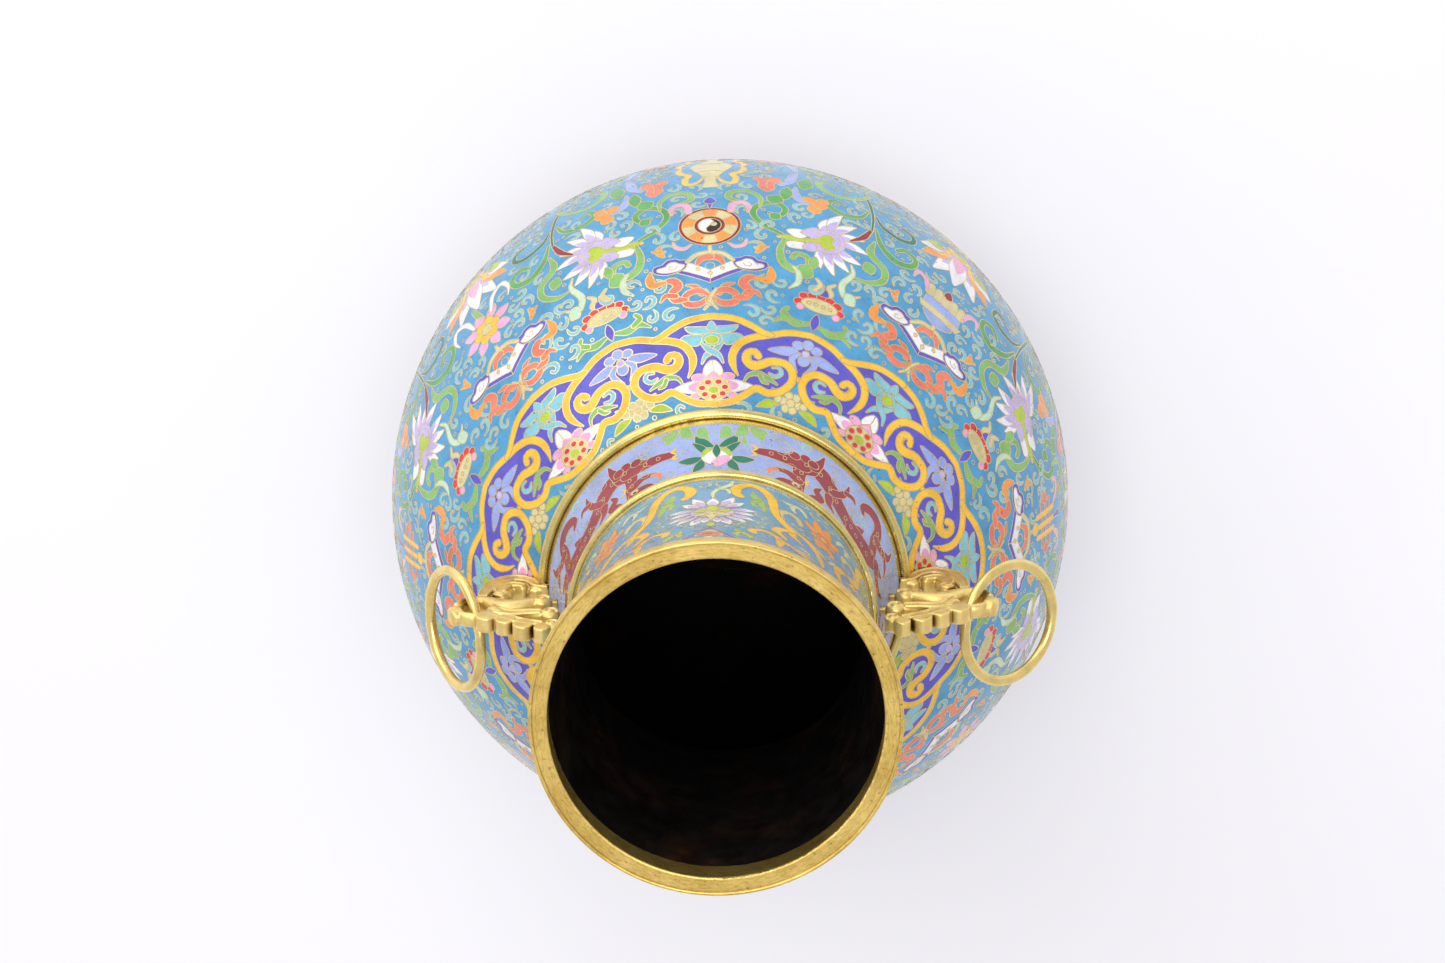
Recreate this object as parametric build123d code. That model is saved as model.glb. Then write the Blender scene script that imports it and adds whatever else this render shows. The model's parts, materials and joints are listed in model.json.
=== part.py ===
"""Cloisonne vase: globular enamelled body, tapering neck, gilt mounts, two scroll handles with loose rings.

Millimetres. The origin is the centre of the foot's underside, +Z goes up the axis, and the two
handles stand on the X axis. Every piece is one solid in its own STEP file.
"""
from build123d import *
from math import cos, radians, sin, sqrt
import os

# ---- driving dimensions ------------------------------------------------------------------------
VASE_HEIGHT = 418.0
BODY_RADIUS = 141.75          # outside of the enamel
BODY_CENTRE_Z = 140.0
ENAMEL = 1.2                  # thickness of the fired enamel
COPPER = 1.8                  # thickness of the hammered copper under it
WALL = ENAMEL + COPPER

MOUTH_RADIUS = 65.0
LIP_INNER_RADIUS = 58.3
LIP_SKIRT_Z = VASE_HEIGHT - 12.0
LIP_SKIRT_STEP = 0.3          # how far the skirt stands back from the lip's inner edge
RIM_HEIGHT = 7.0
RIM_BEAD = 1.4                # raised edge around the lip
RIM_UNDERCUT = 0.9            # how far the rim's underside stands back from its bead
RIM_SOFT_EDGE = 0.8           # rounding between the lip's top and the mouth

FOOT_TOP_Z = 20.0             # where the sphere is cut for the foot
FOOT_COLLAR_HEIGHT = 3.0
FOOT_RIM_HEIGHT = 4.0
FOOT_SPREAD = 3.5             # how far the foot widens on its way down
FOOT_RIM_BULGE = 1.8          # how far the foot's rim stands out at its middle
BASE_PLATE = 2.0

LOWER_CORD_RADIUS = 2.1       # cord between the shoulder and the lavender band
LOWER_CORD_CENTRE = (69.9, 267.6)
LOWER_CORD_SPAN = (263.0, 272.4)
UPPER_CORD_RADIUS = 1.5       # cord between the lavender and the turquoise band
UPPER_CORD_CENTRE = (57.0, 306.7)
UPPER_CORD_SPAN = (304.0, 309.6)

# Outer enamel line of each neck band: bottom, middle and top, as (radius, height).
RIM_SEAT_Z = VASE_HEIGHT - RIM_HEIGHT
LOWER_BAND = ((67.4, LOWER_CORD_SPAN[1]), (61.9, 288.5), (58.1, UPPER_CORD_SPAN[0]))
UPPER_BAND = ((56.0, UPPER_CORD_SPAN[1]), (57.2, 362.0), (63.2, RIM_SEAT_Z))

# Handle: flat scrollwork in the XZ plane. Heights are measured from the ring's eye.
EYE = (94.0, VASE_HEIGHT - 126.0)
EYE_RADIUS = 5.0
EYE_FLARE = 2.0               # how much wider the eye gets at its two mouths
RIDGE_THICKNESS = 6.4
LEAF_THICKNESS = 5.4

# Loose rings.
RING_RADIUS = 22.9            # centre of the wire
RING_WIRE = 2.05              # radius of the wire
RING_LEAN = 31.0              # degrees between the wire and the eye's axis
LEFT_RING_DROP = 59.6         # degrees below the horizontal at which each ring is kept
RIGHT_RING_DROP = 40.0


def sphere_reach(radius, height):
    """Radius at which a sphere about the body's centre crosses a height."""
    return sqrt(radius**2 - (height - BODY_CENTRE_Z) ** 2)


def lathe(*edges):
    """Turn a closed outline, drawn as (radius, height), into a solid of revolution."""
    return revolve(make_face(Plane.XZ * Curve(edges)), Axis.Z, 360)


def sphere_band(outer, inner, low, high):
    """Spherical wall between two heights, with flat rims."""
    return lathe(
        sphere_arc(outer, low, high),
        Line((sphere_reach(outer, high), high), (sphere_reach(inner, high), high)),
        sphere_arc(inner, low, high),
        Line((sphere_reach(outer, low), low), (sphere_reach(inner, low), low)),
    )


def sphere_arc(radius, low, high):
    """Meridian of a sphere about the body's centre."""
    middle = (low + high) / 2
    return ThreePointArc(*((sphere_reach(radius, z), z) for z in (low, middle, high)))


def moved_in(line, step):
    """The same meridian, nearer to the axis."""
    return [(r - step, z) for r, z in line]


def neck_band(line, outer_step, inner_step):
    """Wall that follows a neck line, between two steps in from the enamel's face."""
    outer = moved_in(line, outer_step)
    inner = moved_in(line, inner_step)
    return lathe(
        ThreePointArc(*outer),
        Line(outer[2], inner[2]),
        ThreePointArc(*inner),
        Line(outer[0], inner[0]),
    )


def cord(centre, radius, span, inner_low, inner_high, outer_low, outer_high):
    """Round cord on a flat web that fills the joint between two walls."""
    low, high = span
    web = lathe(Polyline((inner_low, low), (outer_low, low), (outer_high, high), (inner_high, high), close=True))
    ring = Pos(0, 0, centre[1]) * Torus(centre[0], radius)
    slab = Pos(0, 0, (low + high) / 2) * Cylinder(2 * centre[0], high - low)
    return web + (ring & slab)


# ---- body, neck and foot -----------------------------------------------------------------------
def body_pieces():
    """Two hammered copper bowls, butted at the belly, each with its enamel."""
    copper = BODY_RADIUS - ENAMEL
    inside = BODY_RADIUS - WALL
    top = LOWER_CORD_SPAN[0]
    return {
        "body_lower_shell": sphere_band(copper, inside, FOOT_TOP_Z, BODY_CENTRE_Z),
        "body_upper_shell": sphere_band(copper, inside, BODY_CENTRE_Z, top),
        "body_lower_enamel": sphere_band(BODY_RADIUS, copper, FOOT_TOP_Z, BODY_CENTRE_Z),
        "body_upper_enamel": sphere_band(BODY_RADIUS, copper, BODY_CENTRE_Z, top),
    }


def neck_pieces():
    """Two copper tubes with their enamel, and the gilt cord at the foot of each."""
    shoulder = LOWER_CORD_SPAN[0]
    return {
        "neck_lower_shell": neck_band(LOWER_BAND, ENAMEL, WALL),
        "neck_lower_enamel": neck_band(LOWER_BAND, 0, ENAMEL),
        "neck_upper_shell": neck_band(UPPER_BAND, ENAMEL, WALL),
        "neck_upper_enamel": neck_band(UPPER_BAND, 0, ENAMEL),
        "lower_neck_ring": cord(
            LOWER_CORD_CENTRE,
            LOWER_CORD_RADIUS,
            LOWER_CORD_SPAN,
            sphere_reach(BODY_RADIUS - WALL, shoulder),
            LOWER_BAND[0][0] - WALL,
            sphere_reach(BODY_RADIUS, shoulder),
            LOWER_BAND[0][0],
        ),
        "upper_neck_ring": cord(
            UPPER_CORD_CENTRE,
            UPPER_CORD_RADIUS,
            UPPER_CORD_SPAN,
            LOWER_BAND[2][0] - WALL,
            UPPER_BAND[0][0] - WALL,
            LOWER_BAND[2][0],
            UPPER_BAND[0][0],
        ),
    }


def mouth_rim(neck_wall):
    """Gilt lip: a wide flat top with a fine raised edge, and a skirt that lines the mouth."""
    lip = VASE_HEIGHT - RIM_BEAD / 2
    inner = LIP_INNER_RADIUS
    skirt_inner = inner + LIP_SKIRT_STEP
    skirt_outer = UPPER_BAND[2][0] - WALL + COPPER / 3
    outline = Polyline(
        (skirt_inner, LIP_SKIRT_Z),
        (skirt_outer, LIP_SKIRT_Z),
        (skirt_outer, RIM_SEAT_Z),
        (MOUTH_RADIUS - RIM_UNDERCUT, RIM_SEAT_Z),
        (MOUTH_RADIUS - RIM_UNDERCUT / 3, RIM_SEAT_Z + RIM_UNDERCUT),
        (MOUTH_RADIUS, VASE_HEIGHT - 2 * RIM_BEAD),
        (MOUTH_RADIUS, VASE_HEIGHT - RIM_BEAD / 2),
    )
    bead = ThreePointArc((MOUTH_RADIUS, lip), (MOUTH_RADIUS - RIM_BEAD / 2, VASE_HEIGHT), (MOUTH_RADIUS - RIM_BEAD, lip))
    soft = RIM_SOFT_EDGE
    bulge = soft * (1 - sqrt(0.5))
    flat = Line((MOUTH_RADIUS - RIM_BEAD, lip), (inner + soft, lip))
    edge = ThreePointArc((inner + soft, lip), (inner + bulge, lip - bulge), (inner, lip - soft))
    inside = Line((inner, lip - soft), (skirt_inner, LIP_SKIRT_Z))
    return lathe(outline, bead, flat, edge, inside) - neck_wall


def foot_pieces():
    """Enamelled foot ring between a gilt collar and a gilt rim, with the base plate inside."""
    collar_low = FOOT_TOP_Z - FOOT_COLLAR_HEIGHT
    collar_inner = sphere_reach(BODY_RADIUS - WALL, FOOT_TOP_Z)
    top = sphere_reach(BODY_RADIUS, FOOT_TOP_Z)
    bottom = top + FOOT_SPREAD
    foot_line = (
        (top, collar_low),
        (top + FOOT_SPREAD / 3, (collar_low + FOOT_RIM_HEIGHT) / 2),
        (bottom, FOOT_RIM_HEIGHT),
    )
    collar_middle = (FOOT_TOP_Z + collar_low) / 2
    collar = lathe(
        Polyline(
            (top, collar_low),
            (collar_inner, collar_low),
            (collar_inner, FOOT_TOP_Z),
            (top, FOOT_TOP_Z),
        ),
        ThreePointArc((top, FOOT_TOP_Z), (top + FOOT_COLLAR_HEIGHT / 2, collar_middle), (top, collar_low)),
    )
    rim_inner = bottom - WALL - COPPER
    rim_edge = bottom + FOOT_RIM_BULGE / 3
    rim = lathe(
        Polyline(
            (rim_edge, FOOT_RIM_HEIGHT),
            (rim_inner, FOOT_RIM_HEIGHT),
            (rim_inner, 0),
            (rim_edge, 0),
        ),
        ThreePointArc((rim_edge, 0), (bottom + FOOT_RIM_BULGE, FOOT_RIM_HEIGHT / 2), (rim_edge, FOOT_RIM_HEIGHT)),
    )
    base = Pos(0, 0, collar_low + BASE_PLATE / 2) * Cylinder(collar_inner, BASE_PLATE)
    return {
        "foot_shell": neck_band(foot_line, ENAMEL, WALL),
        "foot_enamel": neck_band(foot_line, 0, ENAMEL),
        "foot_collar": collar,
        "foot_rim": rim,
        "base_plate": base,
    }


# ---- handles and rings -------------------------------------------------------------------------
def leaf(thickness, *discs):
    """One scroll of a handle: a plate wrapped round a row of discs (out, up, size) about the eye."""
    plates = []
    for (out_a, up_a, size_a), (out_b, up_b, size_b) in zip(discs, discs[1:]):
        pair = Pos(out_a, up_a) * Circle(size_a) + Pos(out_b, up_b) * Circle(size_b)
        plates.append(extrude(Plane.XZ * make_hull(pair.edges()), thickness / 2, both=True))
    return plates


def drilled(out, up, radius):
    """Cross hole through a handle, placed about the eye."""
    return Pos(out, 0, up) * (Plane.XZ * Cylinder(radius, 4 * RIDGE_THICKNESS))


def eye():
    """The ring's hole: a bore that flares towards both faces, so that the ring can lean."""
    half = LEAF_THICKNESS
    flare = Cone(EYE_RADIUS - EYE_FLARE / 2, EYE_RADIUS + EYE_FLARE, half)
    near = Rot(90, 0, 0) * Pos(0, 0, half / 2) * flare
    return drilled(0, 0, EYE_RADIUS) + near + mirror(near, Plane.XZ)


def vase_outside(cords):
    """The vase's outer form as one block, to seat the handles on."""
    core_radius = UPPER_BAND[0][0] - ENAMEL
    core_height = RIM_SEAT_Z - BODY_CENTRE_Z
    block = Pos(0, 0, BODY_CENTRE_Z) * Sphere(BODY_RADIUS)
    block += Pos(0, 0, BODY_CENTRE_Z + core_height / 2) * Cylinder(core_radius, core_height)
    for line in (LOWER_BAND, UPPER_BAND):
        block += neck_band(line, 0, line[2][0] - core_radius / 2)
    for ring in cords:
        block += ring
    return block


def handle(cords):
    """Cast scroll handle on the +X side: leaves against the neck, a hump on the shoulder, a budded snout."""
    ridge = leaf(RIDGE_THICKNESS, (0, -1, 8.3), (-10, -5, 5.5), (-21, -9.5, 3.9), (-30, -9, 2.6))
    middle = leaf(LEAF_THICKNESS, (-5, 2, 6.5), (-16, 3.5, 4.6), (-26, 3, 3.8), (-34, 3, 2.6))
    front = leaf(LEAF_THICKNESS, (-9, 5, 5.5), (-17, 14, 5.2), (-28, 17, 4.2), (-38, 17, 2.6))
    hump = leaf(LEAF_THICKNESS, (-3, -9, 5.5), (-8, -23, 8.0), (-15, -27, 7.8), (-24, -21, 3.6))
    bridge = leaf(LEAF_THICKNESS, (-11, -5, 4.5), (-14, -18, 4.0))
    bud = Pos(4.2, 0, 3.4) * Sphere(4.6)
    cast = bud
    for plate in ridge + middle + front + hump + bridge:
        cast += plate
    for hole in (eye(), drilled(-17.5, -13.5, 2.2), drilled(-20.5, 9.5, 1.8)):
        cast -= hole
    return Pos(EYE[0], 0, EYE[1]) * cast - vase_outside(cords)


def loose_ring(side, drop):
    """Wire ring threaded through an eye, kept at a drop below the horizontal and leaning towards -Y."""
    swing = radians(drop)
    lean = radians(RING_LEAN)
    reach = RING_RADIUS * cos(lean)
    centre = (
        side * (EYE[0] + reach * cos(swing)),
        -RING_RADIUS * sin(lean),
        EYE[1] - reach * sin(swing),
    )
    return Pos(*centre) * Rot(0, side * drop, 0) * Torus(RING_RADIUS, RING_WIRE)


def handle_pieces(cords):
    """Both handles and their rings."""
    right = handle(cords)
    return {
        "handle_right": right,
        "handle_left": mirror(right, Plane.YZ),
        "ring_right": loose_ring(1, RIGHT_RING_DROP),
        "ring_left": loose_ring(-1, LEFT_RING_DROP),
    }


# ---- write every piece ---------------------------------------------------------------------------
pieces = body_pieces() | neck_pieces() | foot_pieces()
pieces["mouth_rim"] = mouth_rim(pieces["neck_upper_shell"])
pieces |= handle_pieces((pieces["lower_neck_ring"], pieces["upper_neck_ring"]))
os.makedirs("parts", exist_ok=True)
for name, piece in pieces.items():
    export_step(piece, f"parts/{name}.step")
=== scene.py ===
import json
from math import acos, ceil, cos, degrees, hypot, pi, radians, sin
import bpy
import numpy as np
from mathutils import Matrix, Vector
from mathutils.geometry import delaunay_2d_cdt


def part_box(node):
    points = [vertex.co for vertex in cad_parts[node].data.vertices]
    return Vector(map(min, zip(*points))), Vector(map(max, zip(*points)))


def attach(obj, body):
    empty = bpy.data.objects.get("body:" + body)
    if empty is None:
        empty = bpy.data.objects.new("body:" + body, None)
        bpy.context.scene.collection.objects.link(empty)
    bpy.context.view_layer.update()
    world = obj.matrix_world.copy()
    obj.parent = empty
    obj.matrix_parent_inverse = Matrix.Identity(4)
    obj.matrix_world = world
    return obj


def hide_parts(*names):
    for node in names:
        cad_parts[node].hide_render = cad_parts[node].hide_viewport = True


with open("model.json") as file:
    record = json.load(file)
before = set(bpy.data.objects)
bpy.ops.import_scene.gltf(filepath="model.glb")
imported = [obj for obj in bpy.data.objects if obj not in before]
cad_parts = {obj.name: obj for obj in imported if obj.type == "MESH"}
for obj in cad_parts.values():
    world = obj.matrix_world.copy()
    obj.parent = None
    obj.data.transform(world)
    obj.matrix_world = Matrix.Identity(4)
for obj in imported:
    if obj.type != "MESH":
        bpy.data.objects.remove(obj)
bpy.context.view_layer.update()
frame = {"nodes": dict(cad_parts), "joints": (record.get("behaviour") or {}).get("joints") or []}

MM = 0.001
WIRE_WIDTH = 0.38 * MM
NECK_WIRE_WIDTH = 0.28 * MM
WIRE_RISE = 0.05 * MM          # how far a wire stands above the enamel
ENAMEL_SINK = 0.08 * MM        # how far the polished enamel lies under the CAD skin
TILE_DEPTH = 0.9 * MM
BELLY = 89.0                   # v at which the body's pattern is mirrored, degrees from the top
PATTERN_TURN = 91.7            # azimuth of the pattern's front meridian, degrees from +X
CURVE_STEP = 1.3               # mm between the points of a drawn curve
GRID_STEP = 3.4                # mm between the points inside a cell
PIECE_TRIANGLES = 170000       # most triangles in one piece
BLUNT_END = 0.35               # mm of half width at which the end of a stroke is rounded off
SCATTER_STEP = 2.7             # mm between the spots tried for a small ornament
CIRCLE_GAP = 1.7               # mm kept free about a small gold circle
COMMA_GAP = 2.55               # mm kept free about a pale comma
CURL_GAP = 3.4                 # mm kept free about a curl of bare wire


# ---- surfaces of revolution that carry enamel -----------------------------------------------------
class Skin:
    """A surface of revolution with chart coordinates: azimuth in degrees and v along the meridian."""

    def __init__(self, meridian, v_mm, radius_mm):
        self.meridian = meridian
        self.v_mm = v_mm                            # mm per unit of v
        self.az_mm = radians(1) * radius_mm         # mm per degree at the usual radius

    def frame_at(self, az, v):
        """Points on the CAD skin and outward normals, for arrays of chart coordinates."""
        r, z = self.meridian(v)
        step = 1e-3
        r2, z2 = self.meridian(v + step)
        tr, tz = (r2 - r) / step, (z2 - z) / step
        size = np.hypot(tr, tz) * np.where(tz > 0, 1, -1)
        a = np.radians(PATTERN_TURN - az)
        nr, nz = tz / size, -tr / size
        points = np.stack([r * np.cos(a), r * np.sin(a), z], -1)
        normals = np.stack([nr * np.cos(a), nr * np.sin(a), nz], -1)
        return points, normals

    def az_scale(self, v):
        """Millimetres per degree of azimuth at v."""
        return radians(1) * float(self.meridian(np.array([v]))[0][0]) / MM


def sphere_skin():
    """Skin of the body: v is the angle from the top, in degrees."""
    low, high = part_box("body_upper_enamel")
    radius, centre = (high[0] - low[0]) / 2, low[2]

    def meridian(v):
        a = np.radians(v)
        return radius * np.sin(a), centre + radius * np.cos(a)

    return Skin(meridian, radians(1) * radius / MM, 0.8 * radius / MM)


def lathe_skin(node):
    """Skin of a neck band or the foot, with its lowest and highest v: v is the height in millimetres."""
    mesh = frame["nodes"][node].data
    line = set()
    for face in mesh.polygons:
        outward = face.normal.x * face.center.x + face.normal.y * face.center.y
        if outward > 0.5 * hypot(face.center.x, face.center.y):
            for index in face.vertices:
                x, y, z = mesh.vertices[index].co
                line.add((round(z, 7), hypot(x, y)))
    heights, radii = np.array(sorted(line)).T
    fit = np.polyfit(heights - heights[0], radii, 3)

    def meridian(v):
        return np.polyval(fit, v * MM - heights[0]), v * MM

    return Skin(meridian, 1.0, radii.mean() / MM), heights[0] / MM, heights[-1] / MM


# ---- curves ------------------------------------------------------------------------------------------
def spline(points, closed, scale):
    """Points along a Catmull-Rom curve through a few given points, in chart units."""
    pts = np.array(points, float)
    n = len(pts)
    out = []
    spans = n if closed else n - 1
    for i in range(spans):
        if closed:
            p0, p1, p2, p3 = (pts[(i + k) % n] for k in (-1, 0, 1, 2))
        else:
            p1, p2 = pts[i], pts[i + 1]
            p0 = pts[i - 1] if i else 2 * p1 - p2
            p3 = pts[i + 2] if i + 2 < n else 2 * p2 - p1
        length = float(np.hypot(*((p2 - p1) * scale)))
        m = max(2, ceil(length / CURVE_STEP))
        t = (np.arange(m) / m)[:, None]
        a, b = 2 * p1, p2 - p0
        c, d = 2 * p0 - 5 * p1 + 4 * p2 - p3, 3 * p1 - p0 - 3 * p2 + p3
        out.append(0.5 * (a + b * t + c * t * t + d * t**3))
    if not closed:
        out.append(pts[-1:])
    return np.concatenate(out)


def brush(points, widths, scale):
    """Outline of a stroke along a curve, in chart units, with its width in millimetres at even stages."""
    line = spline(points, False, scale) * scale
    steps = np.hypot(*np.diff(line, axis=0).T)
    along = np.concatenate([[0], np.cumsum(steps)])
    along /= along[-1]
    half = np.interp(along, np.linspace(0, 1, len(widths)), widths) / 2
    tangent = np.gradient(line, axis=0)
    tangent /= np.maximum(np.hypot(*tangent.T), 1e-9)[:, None]
    side = np.stack([-tangent[:, 1], tangent[:, 0]], -1)
    left = line + side * half[:, None]
    right = (line - side * half[:, None])[::-1]
    parts = [left]
    if half[-1] > BLUNT_END:
        parts.append(cap(line[-1], tangent[-1], side[-1], half[-1]))
    parts.append(right)
    if half[0] > BLUNT_END:
        parts.append(cap(line[0], -tangent[0], -side[0], half[0]))
    return np.concatenate(parts) / scale


def cap(end, forward, side, half):
    """Half round at the end of a stroke."""
    angles = np.linspace(0, pi, 6)[1:-1, None]
    return end + half * (np.cos(angles) * side + np.sin(angles) * forward)


# ---- drawing on a chart -------------------------------------------------------------------------------
class Drawing:
    """Cells and loose wires in painter's order, in the chart coordinates of one skin."""

    def __init__(self, skin):
        self.skin = skin
        self.cells = []      # (colour, outline, has its own wire)
        self.wires = []

    def _scale(self, v):
        return np.array([self.skin.az_scale(v), self.skin.v_mm])

    def cell(self, colour, points, wired=True, curved=True):
        pts = np.array(points, float)
        scale = self._scale(pts[:, 1].mean())
        outline = spline(pts, True, scale) if curved else self._straight(pts, scale)
        self.cells.append((colour, outline, wired))

    @staticmethod
    def _straight(pts, scale):
        out = []
        for p, q in zip(pts, np.roll(pts, -1, axis=0)):
            m = max(1, ceil(float(np.hypot(*((q - p) * scale))) / (2 * CURVE_STEP)))
            out.append(p + (q - p) * (np.arange(m) / m)[:, None])
        return np.concatenate(out)

    def stroke(self, colour, points, widths):
        scale = self._scale(np.array(points, float)[:, 1].mean())
        self.cells.append((colour, brush(points, widths, scale), True))

    def line(self, points):
        pts = np.array(points, float)
        self.wires.append(spline(pts, False, self._scale(pts[:, 1].mean())))

    def disc(self, colour, az, v, radius, squash=1.0):
        self.cells.append((colour, self._circle(az, v, radius, squash), True))

    def loop(self, az, v, radius, squash=1.0):
        ring = self._circle(az, v, radius, squash)
        self.wires.append(np.concatenate([ring, ring[:1]]))

    def _circle(self, az, v, radius, squash):
        n = max(8, ceil(2 * pi * radius / CURVE_STEP))
        a = np.linspace(0, 2 * pi, n, endpoint=False)
        local = radius * np.stack([np.cos(a), squash * np.sin(a)], -1)
        return np.array([az, v]) + local / self._scale(v)

    def motif(self, draw, az, v, size=1.0, turn=0.0, flip=1):
        """Draws a motif that is given in millimetres about its own centre."""
        flat = Drawing(Flat())
        draw(flat)
        a = radians(turn)
        spin = np.array([[cos(a), sin(a)], [-sin(a), cos(a)]])
        scale = self._scale(v)

        def put(points):
            return np.array([az, v]) + (points * size * np.array([flip, 1])) @ spin / scale

        self.cells += [(colour, put(points), wired) for colour, points, wired in flat.cells]
        self.wires += [put(points) for points in flat.wires]

    def mirrored(self, centre):
        """The same drawing seen in a mirror that stands at an azimuth."""
        twin = Drawing(self.skin)
        flip = np.array([-1, 1])
        shift = np.array([2 * centre, 0])
        twin.cells = [(colour, points * flip + shift, wired) for colour, points, wired in self.cells]
        twin.wires = [points * flip + shift for points in self.wires]
        return twin

    def add(self, other, turn):
        shift = np.array([turn, 0])
        self.cells += [(colour, points + shift, wired) for colour, points, wired in other.cells]
        self.wires += [points + shift for points in other.wires]


class Flat:
    """A chart in plain millimetres, for motifs."""

    v_mm = 1.0

    @staticmethod
    def az_scale(_):
        return 1.0


# ---- from a drawing to mosaic tiles ------------------------------------------------------------------
def inside(points, outline):
    """Which points lie inside a closed outline, counted by winding."""
    a = outline[None] - points[:, None]
    b = np.roll(outline, -1, axis=0)[None] - points[:, None]
    up = (a[..., 1] <= 0) & (b[..., 1] > 0)
    down = (a[..., 1] > 0) & (b[..., 1] <= 0)
    cross = a[..., 0] * b[..., 1] - a[..., 1] * b[..., 0]
    return ((up & (cross > 0)).sum(1) - (down & (cross < 0)).sum(1)) != 0


def clipped(points, window):
    """Runs of a loose wire that lie inside the window."""
    a0, a1, v0, v1 = window
    keep = (points[:, 0] >= a0) & (points[:, 0] <= a1) & (points[:, 1] >= v0) & (points[:, 1] <= v1)
    runs, start = [], None
    for i, flag in enumerate(keep):
        if flag and start is None:
            start = i
        if start is not None and (not flag or i == len(keep) - 1):
            stop = i + 1 if flag else i
            if stop - start > 1:
                runs.append(points[start:stop])
            start = None
    return runs


class Mosaic:
    """One window of a drawing, cut into triangles of one colour each, with its wires as chart polylines."""

    def __init__(self, drawing, window, ground):
        skin = drawing.skin
        a0, a1, v0, v1 = window
        scale = np.array([skin.az_mm, skin.v_mm])
        frame_line = Drawing._straight(np.array([(a0, v0), (a1, v0), (a1, v1), (a0, v1)], float), scale)
        cells = [c for c in drawing.cells if self._meets(c[1], window)]
        loops = [frame_line] + [outline for _, outline, _ in cells]
        grid = self._grid(window, scale)
        verts = np.concatenate(loops + [grid]) * scale
        edges, start = [], 0
        for loop in loops:
            n = len(loop)
            edges += [(start + i, start + (i + 1) % n) for i in range(n)]
            start += n
        out = delaunay_2d_cdt([Vector(p) for p in verts.tolist()], edges, [], 0, 1e-4, False)
        self.points = np.array([tuple(p) for p in out[0]]) / scale
        tris = np.array([f for f in out[2] if len(f) == 3])
        middle = self.points[tris].mean(1)
        within = (middle[:, 0] > a0) & (middle[:, 0] < a1) & (middle[:, 1] > v0) & (middle[:, 1] < v1)
        tris, middle = tris[within], middle[within]
        self.tris = self._turned(tris)
        colours = np.full(len(tris), ground, dtype=object)
        owner = np.full(len(tris), -1)
        for index, (colour, outline, wired) in enumerate(cells):
            low, high = outline.min(0), outline.max(0)
            near = np.nonzero(((middle >= low) & (middle <= high)).all(1))[0]
            if len(near):
                hit = near[inside(middle[near] * scale, outline * scale)]
                colours[hit] = colour
                if wired:
                    owner[hit] = index
        self.colours = colours
        self.wires = self._chains(owner)
        for wire in drawing.wires:
            self.wires += clipped(wire, window)

    @staticmethod
    def _meets(outline, window):
        a0, a1, v0, v1 = window
        low, high = outline.min(0), outline.max(0)
        return high[0] > a0 and low[0] < a1 and high[1] > v0 and low[1] < v1

    @staticmethod
    def _grid(window, scale):
        a0, a1, v0, v1 = window
        step = GRID_STEP / scale
        az = np.arange(a0 + step[0] / 2, a1, step[0])
        v = np.arange(v0 + step[1] / 2, v1, step[1])
        grid = np.stack(np.meshgrid(az, v), -1)
        grid[1::2, :, 0] += step[0] / 4
        grid[::2, :, 0] -= step[0] / 4
        return grid.reshape(-1, 2)

    def _turned(self, tris):
        p = self.points[tris]
        (ax, ay), (bx, by) = (p[:, 1] - p[:, 0]).T, (p[:, 2] - p[:, 0]).T
        area = ax * by - ay * bx
        tris, area = tris[np.abs(area) > 1e-9], area[np.abs(area) > 1e-9]
        return np.where((area > 0)[:, None], tris, tris[:, ::-1])

    def _chains(self, owner):
        """Polylines along the edges between two cells."""
        sides = {}
        for t, tri in enumerate(self.tris.tolist()):
            for i in range(3):
                a, b = tri[i], tri[(i + 1) % 3]
                sides.setdefault((min(a, b), max(a, b)), []).append(owner[t])
        joints = {}
        for (a, b), owners in sides.items():
            if len(owners) == 2 and owners[0] != owners[1]:
                joints.setdefault(a, set()).add(b)
                joints.setdefault(b, set()).add(a)
        chains = []
        for start in sorted(joints, key=lambda k: (len(joints[k]) == 2, k)):
            while joints[start]:
                here, path = start, [start]
                while joints[here]:
                    onward = min(joints[here])
                    joints[here].discard(onward)
                    joints[onward].discard(here)
                    path.append(onward)
                    here = onward
                    if len(joints[here]) != 1:
                        break
                chains.append(self.points[path])
        return chains


# ---- meshes ------------------------------------------------------------------------------------------
def mesh_piece(name, verts, faces, normals, material, slot):
    """A triangle mesh with its own corner normals, riding on the vase."""
    mesh = bpy.data.meshes.new(name)
    mesh.vertices.add(len(verts))
    mesh.vertices.foreach_set("co", verts.ravel())
    mesh.loops.add(faces.size)
    mesh.loops.foreach_set("vertex_index", faces.ravel().astype(np.int32))
    mesh.polygons.add(len(faces))
    mesh.polygons.foreach_set("loop_start", np.arange(0, faces.size, 3, dtype=np.int32))
    mesh.update(calc_edges=True)
    mesh.polygons.foreach_set("use_smooth", np.ones(len(faces), dtype=bool))
    mesh.normals_split_custom_set(normals.tolist())
    mesh.materials.append(material)
    piece = bpy.data.objects.new(name, mesh)
    bpy.context.collection.objects.link(piece)
    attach(piece, "vase")
    return piece


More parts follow.
